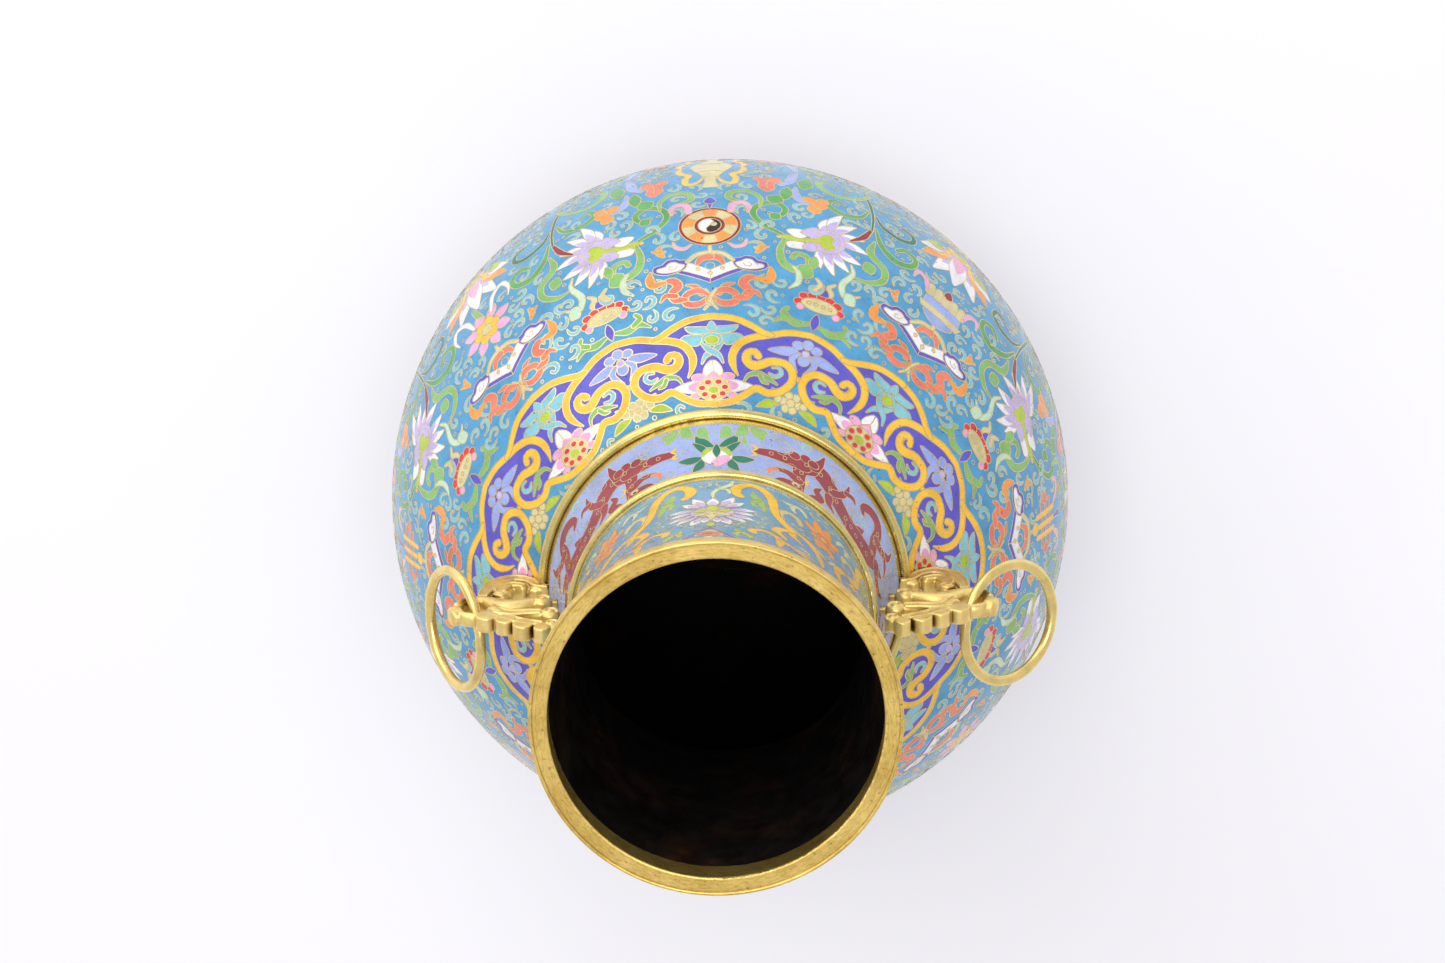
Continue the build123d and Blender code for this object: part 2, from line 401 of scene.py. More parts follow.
class Batch:
    """Triangles gathered for one piece, with a normal for each corner."""

    def __init__(self):
        self.verts, self.faces, self.normals, self.count = [], [], [], 0

    def put(self, verts, faces, normals):
        self.verts.append(verts)
        self.faces.append(faces + self.count)
        self.normals.append(normals)
        self.count += len(verts)

    def spun(self, turns):
        """The same triangles at each of several azimuths."""
        out = Batch()
        for turn in turns:
            a = -radians(turn)
            spin = np.array([[cos(a), sin(a), 0], [-sin(a), cos(a), 0], [0, 0, 1]])
            for verts, faces, normals in zip(self.verts, self.faces, self.normals):
                base = faces.min()
                out.put(verts @ spin, faces - base, normals @ spin)
        return out

    def join(self, other):
        for verts, faces, normals in zip(other.verts, other.faces, other.normals):
            self.put(verts, faces - faces.min(), normals)

    def pieces(self, name, material, slot):
        """One piece, or several numbered ones where the triangles are too many for one."""
        total = sum(len(faces) for faces in self.faces)
        share = total / ceil(total / PIECE_TRIANGLES)
        made, verts, faces, normals, count, base = [], [], [], [], 0, 0
        for index, (v, f, n) in enumerate(zip(self.verts, self.faces, self.normals)):
            verts.append(v)
            faces.append(f - f.min() + base)
            normals.append(n)
            base += len(v)
            count += len(f)
            if count >= share * 0.999 or index == len(self.faces) - 1:
                label = f"{name}_{len(made) + 1}" if total > PIECE_TRIANGLES else name
                merged = (np.concatenate(part) for part in (verts, faces, normals))
                made.append(mesh_piece(label, *merged, material, slot))
                verts, faces, normals, count, base = [], [], [], 0, 0
        return made


def face_normals(verts, faces):
    """Unit normals of triangles."""
    p = verts[faces]
    n = np.cross(p[:, 1] - p[:, 0], p[:, 2] - p[:, 0])
    return n / np.maximum(np.linalg.norm(n, axis=1), 1e-20)[:, None]


def tile_batch(skin, points, tris):
    """Closed tiles over some triangles of a chart: polished top, sides and back."""
    used, flat = np.unique(tris, return_inverse=True)
    faces = flat.reshape(-1, 3)
    on_skin, out = skin.frame_at(points[used, 0], points[used, 1])
    top = on_skin - out * ENAMEL_SINK
    if (face_normals(top, faces) * out[faces[:, 0]]).sum() < 0:
        faces = faces[:, ::-1]
    back = top - out * TILE_DEPTH
    n = len(used)
    edges = np.concatenate([faces[:, [0, 1]], faces[:, [1, 2]], faces[:, [2, 0]]])
    keys = edges.min(1) * n + edges.max(1)
    _, first, counts = np.unique(keys, return_index=True, return_counts=True)
    rim = edges[first[counts == 1]]
    a, b = rim[:, 0], rim[:, 1]
    sides = np.concatenate([np.stack([b, a, a + n], -1), np.stack([b, a + n, b + n], -1)])
    verts = np.concatenate([top, back])
    all_faces = np.concatenate([faces, faces[:, ::-1] + n, sides])
    corner = np.concatenate(
        [
            out[faces].reshape(-1, 3),
            -out[faces[:, ::-1]].reshape(-1, 3),
            np.repeat(face_normals(verts, sides), 3, axis=0),
        ]
    )
    batch = Batch()
    batch.put(verts, all_faces, corner)
    return batch


def wire_batch(skin, chains, width):
    """Flat gilt wires, laid on edge along chart polylines and ground almost flush."""
    batch = Batch()
    for chain in chains:
        keep = np.concatenate([[True], np.abs(np.diff(chain, axis=0)).sum(1) > 1e-6])
        chain = chain[keep]
        if len(chain) < 2:
            continue
        on_skin, out = skin.frame_at(chain[:, 0], chain[:, 1])
        step = np.diff(on_skin, axis=0)
        step /= np.maximum(np.linalg.norm(step, axis=1), 1e-12)[:, None]
        closed = np.allclose(on_skin[0], on_skin[-1], atol=1e-7)
        before = np.concatenate([step[-1:] if closed else step[:1], step])
        after = np.concatenate([step, step[:1] if closed else step[-1:]])
        side_a, side_b = np.cross(out, before), np.cross(out, after)
        side = side_a + side_b
        length = np.maximum(np.linalg.norm(side, axis=1), 1e-9)[:, None]
        side /= length
        mitre = 1 / np.clip((side * side_a).sum(1), 0.5, 1)[:, None]
        line = on_skin.copy()
        if not closed:
            line[0] -= step[0] * width * 0.4
            line[-1] += step[-1] * width * 0.4
        high = line + out * (WIRE_RISE - ENAMEL_SINK)
        low = line - out * (ENAMEL_SINK + 3 * WIRE_RISE)
        reach = side * mitre * width / 2
        rings = np.stack([high - reach, high + reach, low + reach, low - reach], 1)
        m = len(line)
        verts = rings.reshape(-1, 3)
        i = np.arange(m - 1)[:, None] * 4
        k = np.arange(4)[None]
        a, b = i + k, i + (k + 1) % 4
        c, d = b + 4, a + 4
        quads = np.stack([a, b, c, d], -1).reshape(-1, 4)
        end = 4 * (m - 1)
        caps = np.array([[3, 2, 1, 0], [end, end + 1, end + 2, end + 3]])
        quads = np.concatenate([quads, caps])
        faces = np.concatenate([quads[:, [0, 2, 1]], quads[:, [0, 3, 2]]])
        batch.put(verts, faces, np.repeat(face_normals(verts, faces), 3, axis=0))
    return batch


# ---- materials ---------------------------------------------------------------------------------------
def srgb(*rgb):
    """Linear colour from display values of 0 to 255."""
    return tuple((c / 255 / 12.92) if c <= 10 else ((c / 255 + 0.055) / 1.055) ** 2.4 for c in rgb)


class Nodes:
    """Short helper to write a material's node tree."""

    def __init__(self, name):
        self.material = bpy.data.materials.new(name)
        self.material.use_nodes = True
        self.tree = self.material.node_tree
        self.shader = self.tree.nodes["Principled BSDF"]
        self.where = self.node("ShaderNodeTexCoord").outputs["Object"]

    def node(self, kind, **settings):
        made = self.tree.nodes.new(kind)
        for key, value in settings.items():
            setattr(made, key, value)
        return made

    def link(self, source, target):
        self.tree.links.new(source, target)

    def noise(self, scale, detail=3.0, roughness=0.5, where=None):
        made = self.node("ShaderNodeTexNoise")
        made.inputs["Scale"].default_value = scale
        made.inputs["Detail"].default_value = detail
        made.inputs["Roughness"].default_value = roughness
        self.link(where or self.where, made.inputs["Vector"])
        return made.outputs["Fac"]

    def ramp(self, value, *stops):
        """A colour or grey ramp: stops are (place, value or rgb)."""
        made = self.node("ShaderNodeValToRGB")
        elements = made.color_ramp.elements
        while len(elements) < len(stops):
            elements.new(0.5)
        for element, (place, colour) in zip(elements, stops):
            element.position = place
            rgb = (colour,) * 3 if isinstance(colour, (int, float)) else colour
            element.color = (*rgb, 1)
        self.link(value, made.inputs["Fac"])
        return made.outputs["Color"]

    def mix(self, factor, a, b, blend="MIX"):
        made = self.node("ShaderNodeMix", data_type="RGBA", blend_type=blend)
        for socket, value in ((made.inputs["Factor"], factor), (made.inputs["A"], a), (made.inputs["B"], b)):
            if isinstance(value, bpy.types.NodeSocket):
                self.link(value, socket)
            elif isinstance(value, (int, float)):
                socket.default_value = value
            else:
                socket.default_value = (*value, 1)
        return made.outputs["Result"]

    def math(self, operation, a, b=None):
        made = self.node("ShaderNodeMath", operation=operation)
        for socket, value in zip(made.inputs, (a, b)):
            if isinstance(value, bpy.types.NodeSocket):
                self.link(value, socket)
            elif value is not None:
                socket.default_value = value
        return made.outputs[0]

    def corners(self, reach, most):
        """Painted shade and grime: grows from 0 on open surfaces to most in hollows narrower than the reach,
        read from ambient occlusion.
        """
        # painted shade and grime: the occlusion decides where brown goes
        occlusion = self.node("ShaderNodeAmbientOcclusion", samples=6)
        occlusion.inputs["Distance"].default_value = reach
        return self.ramp(occlusion.outputs["AO"], (0.38, most), (0.86, 0.0))

    def radius(self):
        """Distance from the vase's axis."""
        split = self.node("ShaderNodeSeparateXYZ")
        self.link(self.where, split.inputs[0])
        squares = [self.math("POWER", split.outputs[i], 2.0) for i in (0, 1)]
        return self.math("SQRT", self.math("ADD", *squares))

    def bump(self, height, strength, distance):
        made = self.node("ShaderNodeBump")
        made.inputs["Strength"].default_value = strength
        made.inputs["Distance"].default_value = distance
        self.link(height, made.inputs["Height"])
        self.link(made.outputs["Normal"], self.shader.inputs["Normal"])

    def colour(self, source):
        self.link(source, self.shader.inputs["Base Color"])

    def rough(self, source):
        self.link(source, self.shader.inputs["Roughness"])


PALETTE = {
    "turquoise": (84, 157, 200),
    "ultramarine": (98, 92, 196),
    "yellow": (250, 196, 66),
    "lavender": (153, 171, 217),
    "maroon": (150, 42, 52),
    "coral": (234, 128, 102),
    "orange": (248, 156, 72),
    "green": (134, 188, 104),
    "mid_green": (92, 168, 88),
    "dark_green": (8, 118, 92),
    "cream": (216, 205, 150),
    "mint": (196, 224, 190),
    "pale_turquoise": (134, 198, 208),
    "white": (240, 238, 240),
    "lilac": (196, 182, 230),
    "pink": (238, 172, 208),
    "red": (222, 64, 70),
    "lime": (178, 203, 58),
    "periwinkle": (156, 176, 236),
    "black": (40, 30, 28),
}


def enamel(name, rgb):
    """Polished fired glass: cloudy colour, a few pinholes, a faintly uneven gloss."""
    n = Nodes("enamel_" + name)
    base = srgb(*rgb)
    deep = tuple(c * 0.80 for c in base)
    pale = tuple(min(1.0, c * 1.10 + 0.015) for c in base)
    cloud = n.ramp(n.noise(95, 5, 0.62), (0.30, deep), (0.52, base), (0.74, pale))
    grain = n.ramp(n.noise(1500, 2, 0.5), (0.36, 0.86), (0.48, 1.0))
    pits = n.ramp(n.noise(620, 2, 0.5), (0.255, 0.35), (0.285, 1.0))
    n.colour(n.mix(1.0, n.mix(1.0, cloud, grain, "MULTIPLY"), pits, "MULTIPLY"))
    n.rough(n.ramp(n.noise(160, 3), (0.3, 0.10), (0.7, 0.20)))
    n.bump(n.noise(230, 2), 0.10, 0.35 * MM)
    n.shader.inputs["Specular IOR Level"].default_value = 0.32
    return n.material


GILT_METALLIC = 0.86


def gilding(name, tint, rough=(0.24, 0.42), scale=90.0, dirt=0.5, hammered=0.25, bore=0.0):
    """Fire gilding: warm uneven metal with patches of brown grime, and brown painted shade with grime in the
    corners against other pieces.
    """
    n = Nodes(name)
    bright, dull, brown = srgb(*tint), srgb(*(c * 0.88 for c in tint)), srgb(104, 64, 28)
    cloud = n.ramp(n.noise(scale, 6, 0.65), (0.32, dull), (0.62, bright))
    grime = n.ramp(n.noise(scale * 3.1, 6, 0.72), (0.60, 0.0), (0.78, dirt))
    # painted shade and grime: brown mixed in where ambient occlusion finds a corner against another piece
    metal = n.mix(n.corners(1.6 * MM, 0.85), n.mix(grime, cloud, brown), brown)
    if bore:
        # bare copper where the piece shows inside the neck, painted near black as shade of the unlit inside
        metal = n.mix(n.math("LESS_THAN", n.radius(), bore), metal, srgb(12, 8, 6))
    n.colour(metal)
    n.shader.inputs["Metallic"].default_value = GILT_METALLIC
    n.rough(n.ramp(n.noise(scale * 5, 4), (0.3, rough[0]), (0.7, rough[1])))
    n.bump(n.noise(scale * 7, 4), hammered, 0.12 * MM)
    return n.material


def cast_gilding():
    """Gilding of the handles: bright on the crests, brown painted shade and grime in the hollows of the
    casting.
    """
    n = Nodes("gilt_bronze_cast")
    bright, warm, brown = srgb(248, 224, 144), srgb(230, 194, 112), srgb(96, 56, 24)
    cloud = n.ramp(n.noise(150, 6, 0.65), (0.32, warm), (0.62, bright))
    # painted shade and grime: brown in the hollows, from ambient occlusion
    n.colour(n.mix(n.corners(3.2 * MM, 0.9), cloud, brown))
    n.shader.inputs["Metallic"].default_value = GILT_METALLIC
    n.rough(n.ramp(n.noise(450, 4), (0.3, 0.30), (0.7, 0.48)))
    n.bump(n.noise(700, 4), 0.35, 0.12 * MM)
    return n.material


# ---- motifs, in millimetres about their own centre: y along v, to the foot on the body, up on the neck ----
def leaf(d, colour, start, end, width, bend=0.0, wired=True):
    """Pointed leaf between two points; a bend moves its middle to one side."""
    (x0, y0), (x1, y1) = start, end
    dx, dy = x1 - x0, y1 - y0
    length = hypot(dx, dy)
    nx, ny = -dy / length, dx / length

    def at(along, across):
        k = across + bend * 4 * along * (1 - along)
        return x0 + dx * along + nx * k, y0 + dy * along + ny * k

    half = width / 2
    shape = [at(0, 0), at(0.25, half * 0.75), at(0.55, half), at(0.85, half * 0.5), at(1, 0)]
    shape += [at(0.85, -half * 0.5), at(0.55, -half), at(0.25, -half * 0.75)]
    d.cell(colour, shape, wired)


class Half:
    """Draws on one side of a motif's centre line: on side 1 as given, on side -1 the mirror image."""

    def __init__(self, drawing, side):
        self.drawing, self.side = drawing, side

    def _placed(self, points):
        return [(self.side * x, y) for x, y in points]

    def cell(self, colour, points, wired=True, curved=True):
        self.drawing.cell(colour, self._placed(points), wired, curved)

    def stroke(self, colour, points, widths):
        self.drawing.stroke(colour, self._placed(points), widths)

    def line(self, points):
        self.drawing.line(self._placed(points))

    def disc(self, colour, x, y, radius, squash=1.0):
        self.drawing.disc(colour, self.side * x, y, radius, squash)

    def loop(self, x, y, radius, squash=1.0):
        self.drawing.loop(self.side * x, y, radius, squash)

    def leaf(self, colour, start, end, width, bend=0.0, wired=True):
        leaf(self.drawing, colour, *self._placed([start, end]), width, self.side * bend, wired)

    def motif(self, draw, x, y, size=1.0, turn=0.0, flip=1):
        self.drawing.motif(draw, self.side * x, y, size, self.side * turn, self.side * flip)


def strokes(pen, colour, *lines, fat=1.0):
    """Strokes of one colour: each line is its points and its widths, which fat makes wider."""
    for points, widths in lines:
        pen.stroke(colour, points, [fat * width for width in widths])


def halves(drawing):
    """A pen for each side, to draw the same on both."""
    return Half(drawing, 1), Half(drawing, -1)


def bloom(d, colour, petals, radius, petal):
    """Round blossom of equal petals about a cream heart at the origin."""
    for i in range(petals):
        a = 2 * pi * i / petals
        d.disc(colour, radius * cos(a), radius * sin(a), petal)
    d.disc("cream", 0, 0, radius * 0.62)


def comma(d):
    """Small curl with a thin tail."""
    d.stroke(
        "pale_turquoise",
        [(-4.2, 1.6), (-1.6, 2.5), (1.2, 1.6), (1.9, -0.7), (0.2, -2.0), (-1.2, -0.9)],
        (0.3, 1.3, 1.7, 1.9, 1.5, 1.2),
    )


def wire_curl(d):
    """Spiral of bare wire on the ground."""
    turns = [(radians(50 * i), 0.35 + 0.21 * i) for i in range(9)]
    d.line([(r * cos(a), r * sin(a)) for a, r in turns])


def lappet_lotus(d):
    """Pink and white lotus with a seed head of red dots."""
    for half in halves(d):
        half.cell("white", [(4, 2.4), (8, 3.0), (12, 2.2), (15.4, 1.0), (12, -0.8), (8, -2.0), (4.6, -1.6)])
        half.cell("pink", [(4, 2.0), (7, 2.4), (9.4, 1.2), (9.2, -0.4), (7, -1.4), (4.6, -1.2)], wired=False)
        half.cell("pink", [(4.0, -2.0), (6.6, -4.4), (10.6, -4.6), (9.0, -2.6), (5.4, -1.4)])
        half.cell("pink", [(3.2, 2.4), (7.4, 3.2), (7.8, 5.0), (5.4, 5.8), (2.4, 4.6)])
        half.cell("white", [(0.2, 4.6), (3.4, 5.2), (2.8, 8.6), (0.2, 11.0)])
    d.cell("pink", [(-3.2, 3.4), (-1.2, 5.6), (0, 6.6), (1.2, 5.6), (3.2, 3.4), (0, 2.4)])
    d.disc("cream", 0, -0.8, 6.4, 0.72)
    for i in range(7):
        a = 2 * pi * (i + 0.25) / 7
        d.disc("red", 4.5 * cos(a), -0.8 + 3.1 * sin(a), 1.45, 0.8)
    d.disc("lime", 0, -1.2, 2.2, 0.7)


def low_lotus(d):
    """Pale turquoise lotus with crossed leaves."""
    for half in halves(d):
        half.cell(
            "pale_turquoise",
            [(3, 0.6), (5.6, -2.0), (8.8, -1.4), (12.4, 0.6), (10.6, 3.0), (6.6, 3.0), (3.4, 2.4)],
        )
        half.cell("pale_turquoise", [(0.6, 3.0), (5.4, 3.2), (8.6, 4.2), (9.8, 6.8), (5.6, 6.4), (1.2, 5.8)])
        half.stroke(
            "pale_turquoise",
            [(-4.4, -9.6), (-2.6, -6.4), (1.4, -4.0), (3.8, -1.0)],
            (0.8, 2.2, 2.6, 1.6),
        )
    d.cell("pale_turquoise", [(-2.0, 5.2), (0, 8.6), (2.0, 5.2), (0, 4.0)])
    d.disc("pale_turquoise", 0, 0.4, 4.0, 0.72)
    d.disc("lime", 0, 0.2, 2.7, 0.7)


def inner_flower(d):
    """Periwinkle flower of the small lappets."""
    for half in halves(d):
        half.cell("periwinkle", [(3.0, 1.2), (7.6, -1.4), (14.6, -0.4), (9.6, 2.0), (4.6, 2.8)])
        half.stroke("periwinkle", [(2.4, 0.8), (4.6, -1.6), (3.6, -4.6), (1.6, -7.0)], (1.6, 2.5, 2.1, 0.8))
        half.disc("periwinkle", 3.6, 4.4, 2.3, 0.8)
    d.disc("periwinkle", 0, 5.6, 2.2)
    d.disc("periwinkle", 0, -1.4, 2.4)
    d.disc("lilac", 0, 1.6, 1.6)


def grape_blossom(d):
    """Cream berries between two lime leaves, next to the lower cord."""
    for half in halves(d):
        half.leaf("lime", (4, -2.0), (13, -4.6), 3.2, 0.8)
    for half in halves(d):
        half.leaf("green", (3, 2.0), (8.4, 4.0), 2.4, -0.6)
    bloom(d, "cream", 6, 2.9, 1.75)
    for half in halves(d):
        half.disc("cream", 5.2, 0.4, 1.6)


def scallop_flower(d):
    """Cream flower with a red scalloped hem, hung from a blue bud between green leaves."""
    for half in halves(d):
        strokes(
            half, "green",
            ([(1.6, -9.6), (7.4, -11.0), (12.4, -9.6), (17.2, -12.4)], (1.4, 3.2, 3.0, 0.8)),
            ([(10.4, -9.6), (13.6, -7.2), (12.2, -5.0)], (2.2, 2.6, 1.8)),
        )
        half.stroke("cream", [(1.8, 4.6), (3.2, 7.4), (1.6, 10.4), (3.6, 13.0)], (1.4, 2.2, 2.0, 1.0))
    for x, y in ((-8.4, -0.4), (-6.8, 2.8), (-3.5, 3.9), (0, 4.3), (3.5, 3.9), (6.8, 2.8), (8.4, -0.4)):
        d.disc("red", x, y, 2.1, 0.82)
    for half in halves(d):
        half.disc("pink", 7.4, -2.6, 1.7)
    d.disc("cream", 0, 0, 7.4, 0.44)
    for x in (-4.4, -1.5, 1.5, 4.4):
        d.loop(x, 0.2, 0.8)
    d.cell("ultramarine", [(-2.4, 5.4), (2.4, 5.4), (1.4, 8.6), (-1.4, 8.6)])
    leaf(d, "ultramarine", (0, -4.2), (0, -12.4), 3.8)


def ribbon_bow(d):
    """Coral ribbon tied in a bow over the chime."""
    for half in halves(d):
        strokes(
            half, "coral",
            ([(3.4, 1.4), (5.6, 5.0), (9.0, 6.2)], (2.6, 2.4, 0.8)),
            (
                [(1.0, -0.6), (4.6, -3.6), (9.6, -2.8), (9.4, 1.4), (4.6, 3.0), (1.0, 0.6)],
                (1.4, 3.0, 3.0, 2.8, 3.0, 1.4),
            ),
            (
                [(9.6, -0.8), (13.8, 0.0), (14.8, 3.4), (12.2, 6.2), (14.0, 9.4), (18.4, 9.6)],
                (1.8, 3.6, 3.2, 3.8, 3.4, 1.0),
            ),
            ([(13.6, 1.6), (17.4, 2.6), (19.6, 0.2)], (2.6, 2.4, 0.8)),
        )
        half.stroke("orange", [(17.0, 9.4), (21.6, 9.2), (22.4, 12.6), (21.6, 16.4)], (1.6, 3.4, 3.4, 0.7))
        half.stroke("cream", [(2.6, -6.2), (0.6, -3.4), (-0.4, 0.4), (-2.2, 3.4)], (0.9, 1.3, 1.3, 0.9))
    d.loop(0, -2.4, 2.2)


def chime(d):
    """White stone chime with a blue edge and cloud ends, over a gold arch."""
    for half in halves(d):
        half.cell("ultramarine", [(0, -8.4), (14.6, -1.0), (15.0, 0.8), (12.2, 1.4), (0, -4.8)], curved=False)
        half.cell("white", [(0, -6.2), (13.0, 0.2), (12.6, 3.0), (9.8, 3.8), (0, -1.8)], curved=False)
        edge = [
            (8.8, 2.8), (9.6, 4.8), (11.6, 4.9), (13.0, 6.0), (16.6, 6.0), (18.4, 4.2), (22.0, 3.4),
            (22.2, 0.4),
        ]
        half.cell("ultramarine", edge + [(18.0, -1.8), (13.8, -1.6), (10, 0)])
        cloud = [
            (9.8, 2.0), (11.6, -0.2), (14.6, -0.9), (18.0, -0.6), (20.9, 0.8), (20.4, 2.3), (17.6, 2.6),
            (16.0, 4.3),
        ]
        half.cell("white", cloud + [(13.6, 4.4), (12.2, 3.2)])
        half.line([(12.8, 2.2), (13.8, 0.8), (15.8, 0.8), (16.0, 2.2), (14.8, 2.4)])
        half.disc("cream", 4.8, -0.8, 0.9)
        half.stroke("cream", [(0, 8.2), (4.8, 7.2), (8.8, 3.6)], (1.5, 1.9, 1.6))
        half.stroke("coral", [(0, 5.4), (3.2, 4.8), (5.0, 2.0)], (3.4, 3.0, 1.8))
        strokes(
            half, "orange",
            ([(17.8, 8.6), (19.2, 11.2), (18.4, 14.4)], (1.4, 3.2, 1.0)),
            ([(19.0, 11.2), (21.8, 12.6)], (2.2, 0.8)),
        )
    d.disc("turquoise", 0, 0.4, 1.9)
    d.disc("cream", 0, -3.4, 1.0)
    d.stroke("cream", [(0, 8.0), (0, 11.2)], (1.6, 1.2))


def wheel(d):
    """Wheel emblem with cream and orange segments and a light and dark hub."""
    d.disc("maroon", 0, 0, 12.4)
    for i in range(10):
        a0, a1 = 2 * pi * i / 10, 2 * pi * (i + 1) / 10
        arc = [(11.0 * cos(a), 11.0 * sin(a)) for a in np.linspace(a0, a1, 5)]
        arc += [(6.2 * cos(a), 6.2 * sin(a)) for a in np.linspace(a1, a0, 4)]
        d.cell(("orange", "cream")[i % 2], arc, curved=False)
    d.disc("maroon", 0, 0, 6.2)
    d.disc("white", 0, 0, 4.6)
    right = [(4.6 * sin(a), -4.6 * cos(a)) for a in np.linspace(0, pi, 10)]
    d.cell("black", right + [(1.6, 2.6), (0.4, 0.6), (-1.4, -1.6), (-1.2, -3.6)], curved=False)
    d.disc("cream", 1.6, 0.8, 1.2)
    d.stroke("ultramarine", [(0, 12.6), (0, 16.4)], (1.0, 2.4))
    d.cell("ultramarine", [(-2.4, 17.6), (0, 15.4), (2.4, 17.6), (0, 21.2)])
    for half in halves(d):
        strokes(
            half, "pink",
            (
                [(8.2, 10.0), (9.0, 15.4), (12.6, 16.8), (15.0, 13.8), (14.6, 9.2)],
                (2.6, 2.9, 2.6, 2.2, 0.7),
            ),
            ([(7.6, -11.4), (10.8, -13.4), (14.2, -11.8), (15.0, -8.6)], (0.8, 1.8, 2.0, 0.7)),
        )


def emblem_flower(d):
    """Yellow and pink lotus emblem on a green stalk."""
    d.stroke("green", [(0, 2), (-0.6, 10), (-2.6, 20)], (3.0, 3.4, 2.0))
    for i in range(8):
        a = 2 * pi * i / 8 + 0.2
        leaf(d, "pink", (4.4 * cos(a), 4.4 * sin(a)), (13.6 * cos(a), 13.0 * sin(a)), 5.4)
    bloom(d, "yellow", 6, 4.6, 2.6)
    for half in halves(d):
        half.stroke("white", [(5, 8), (8, 17), (13, 20), (15.6, 14), (14.4, 8)], (1.6, 2.4, 2.6, 2.0, 0.6))


def emblem_canopy(d):
    """Tiered canopy emblem with a fringe and ribbons."""
    d.cell("lavender", [(-6, -12), (0, -14.4), (6, -12), (7.6, -8.6), (0, -7.4), (-7.6, -8.6)])
    d.cell("cream", [(-9.6, -8.4), (9.6, -8.4), (10.8, -5), (-10.8, -5)], curved=False)
    d.cell("periwinkle", [(-9.4, -5), (9.4, -5), (8.8, 0.8), (-8.8, 0.8)], curved=False)
    for x in range(0, 20, 4):
        d.cell("cream", [(-10 + x, 0.8), (-6 + x, 0.8), (-6.4 + x, 6.6), (-8 + x, 8.0), (-9.6 + x, 6.6)])
    d.cell("maroon", [(-2.2, 7.4), (0, 5.6), (2.2, 7.4), (0, 11.4)])
    for half in halves(d):
        half.stroke("pink", [(9.4, 2), (11.4, 8), (15.4, 9.4), (16.6, 4.4)], (1.4, 2.4, 2.2, 0.6))


def emblem_knot(d):
    """Endless knot emblem."""
    for i in (-1, 0, 1):
        d.stroke("coral", [(-9, 4.4 * i), (9, 4.4 * i)], (2.0, 2.0))
    for i in (-1, 0, 1):
        d.stroke("yellow", [(4.4 * i, -9), (4.4 * i, 9)], (2.0, 2.0))
    for half in halves(d):
        half.disc("coral", 10.4, 0, 2.6)
    d.disc("yellow", 0, -10.8, 2.6)
    d.stroke("ultramarine", [(0, 10), (0, 16)], (1.6, 2.6))
    for half in halves(d):
        half.stroke("pink", [(6, 10), (9, 15.4), (13, 16), (15, 11)], (1.6, 2.8, 2.4, 0.6))


def big_lotus(d):
    """Lotus in profile that opens towards +x, on a lime stalk: slender lilac petals with white tips."""
    d.cell("white", [(-15.6, -6.4), (-9.0, -5.2), (-6.2, -7.4), (-9.4, -9.4), (-14.8, -9.8)])
    d.cell("white", [(-16.6, 0.6), (-12.4, -3.2), (-8.6, -1.6), (-7.6, 1.8), (-11.6, 2.8)])
    d.cell(
        "lilac",
        [(-9.4, -7.8), (-4.6, -9.2), (-1.6, -4.2), (-1.6, 3.8), (-5.6, 6.4), (-11.0, 1.0), (-6.2, -1.6)],
    )
    tips = (
        (0.0, -17.4), (6.4, -19.0), (12.0, -14.0), (16.0, -7.0),
        (17.2, 1.0), (14.8, 9.0), (10.4, 16.6), (4.0, 21.8), (-1.6, 14.8),
    )
    for tip in tips[::2] + tips[1::2]:
        start = (0.18 * tip[0], 0.22 * tip[1])
        bend = 1.5 if tip[1] > 0 else -1.5
        leaf(d, "white", start, tip, 4.4, bend)
        leaf(d, "lilac", start, (0.72 * tip[0], 0.72 * tip[1]), 3.2, 0.8 * bend, wired=False)
    d.cell(
        "lilac",
        [(-3.4, -6.4), (1.6, -7.4), (6.6, -4.0), (7.4, 1.4), (4.8, 6.8), (-0.6, 7.4), (-4.0, 4.0)],
    )
    d.line([(-1.8, -6.0), (2.8, -5.4), (5.4, -0.8), (4.2, 4.4), (0.2, 6.4)])
    d.stroke("lime", [(-16.6, -4.2), (-11, -4.0), (-5.4, -2.4), (-1.6, -1.2)], (3.4, 1.8, 2.4, 2.6))
    d.cell(
        "lime",
        [
            (-1.6, -4.6), (2.0, -5.2), (3.8, -2.8), (2.2, -0.6), (2.8, 2.6), (0.2, 3.8), (-2.6, 2.0),
            (-3.4, -1.6),
        ],
    )
    d.disc("yellow", -19.2, -4.6, 0.9)


def lobed_flower(d):
    """Side view of a blossom of four lobes with a curling blue leaf."""
    d.stroke("periwinkle", [(-3.0, -1.0), (-6.8, 1.6), (-8.4, 7.0), (-8.6, 13.0)], (2.4, 3.8, 3.0, 0.8))
    for x, y, radius in ((0, -4.6, 3.0), (1.8, 0.4, 3.4), (-2.6, 3.0, 2.9), (3.0, 4.6, 2.6)):
        d.disc("orange", x, y, radius)


def tulip_flower(d):
    """Tall coral blossom with a periwinkle leaf."""
    d.stroke("periwinkle", [(5.2, 0), (8.4, 5), (9.6, 12), (11, 20)], (2.4, 4.0, 3.6, 1.2))
    d.cell(
        "coral",
        [
            (0, -9), (3.0, -5), (2.4, -1), (5.4, 4), (3.2, 8.4), (-0.6, 5.6), (-4.6, 7.4), (-6.2, 3.8),
            (-3.8, 0), (-4.0, -5),
        ],
    )
    d.line([(0, -6), (-0.6, -1), (0.4, 4)])


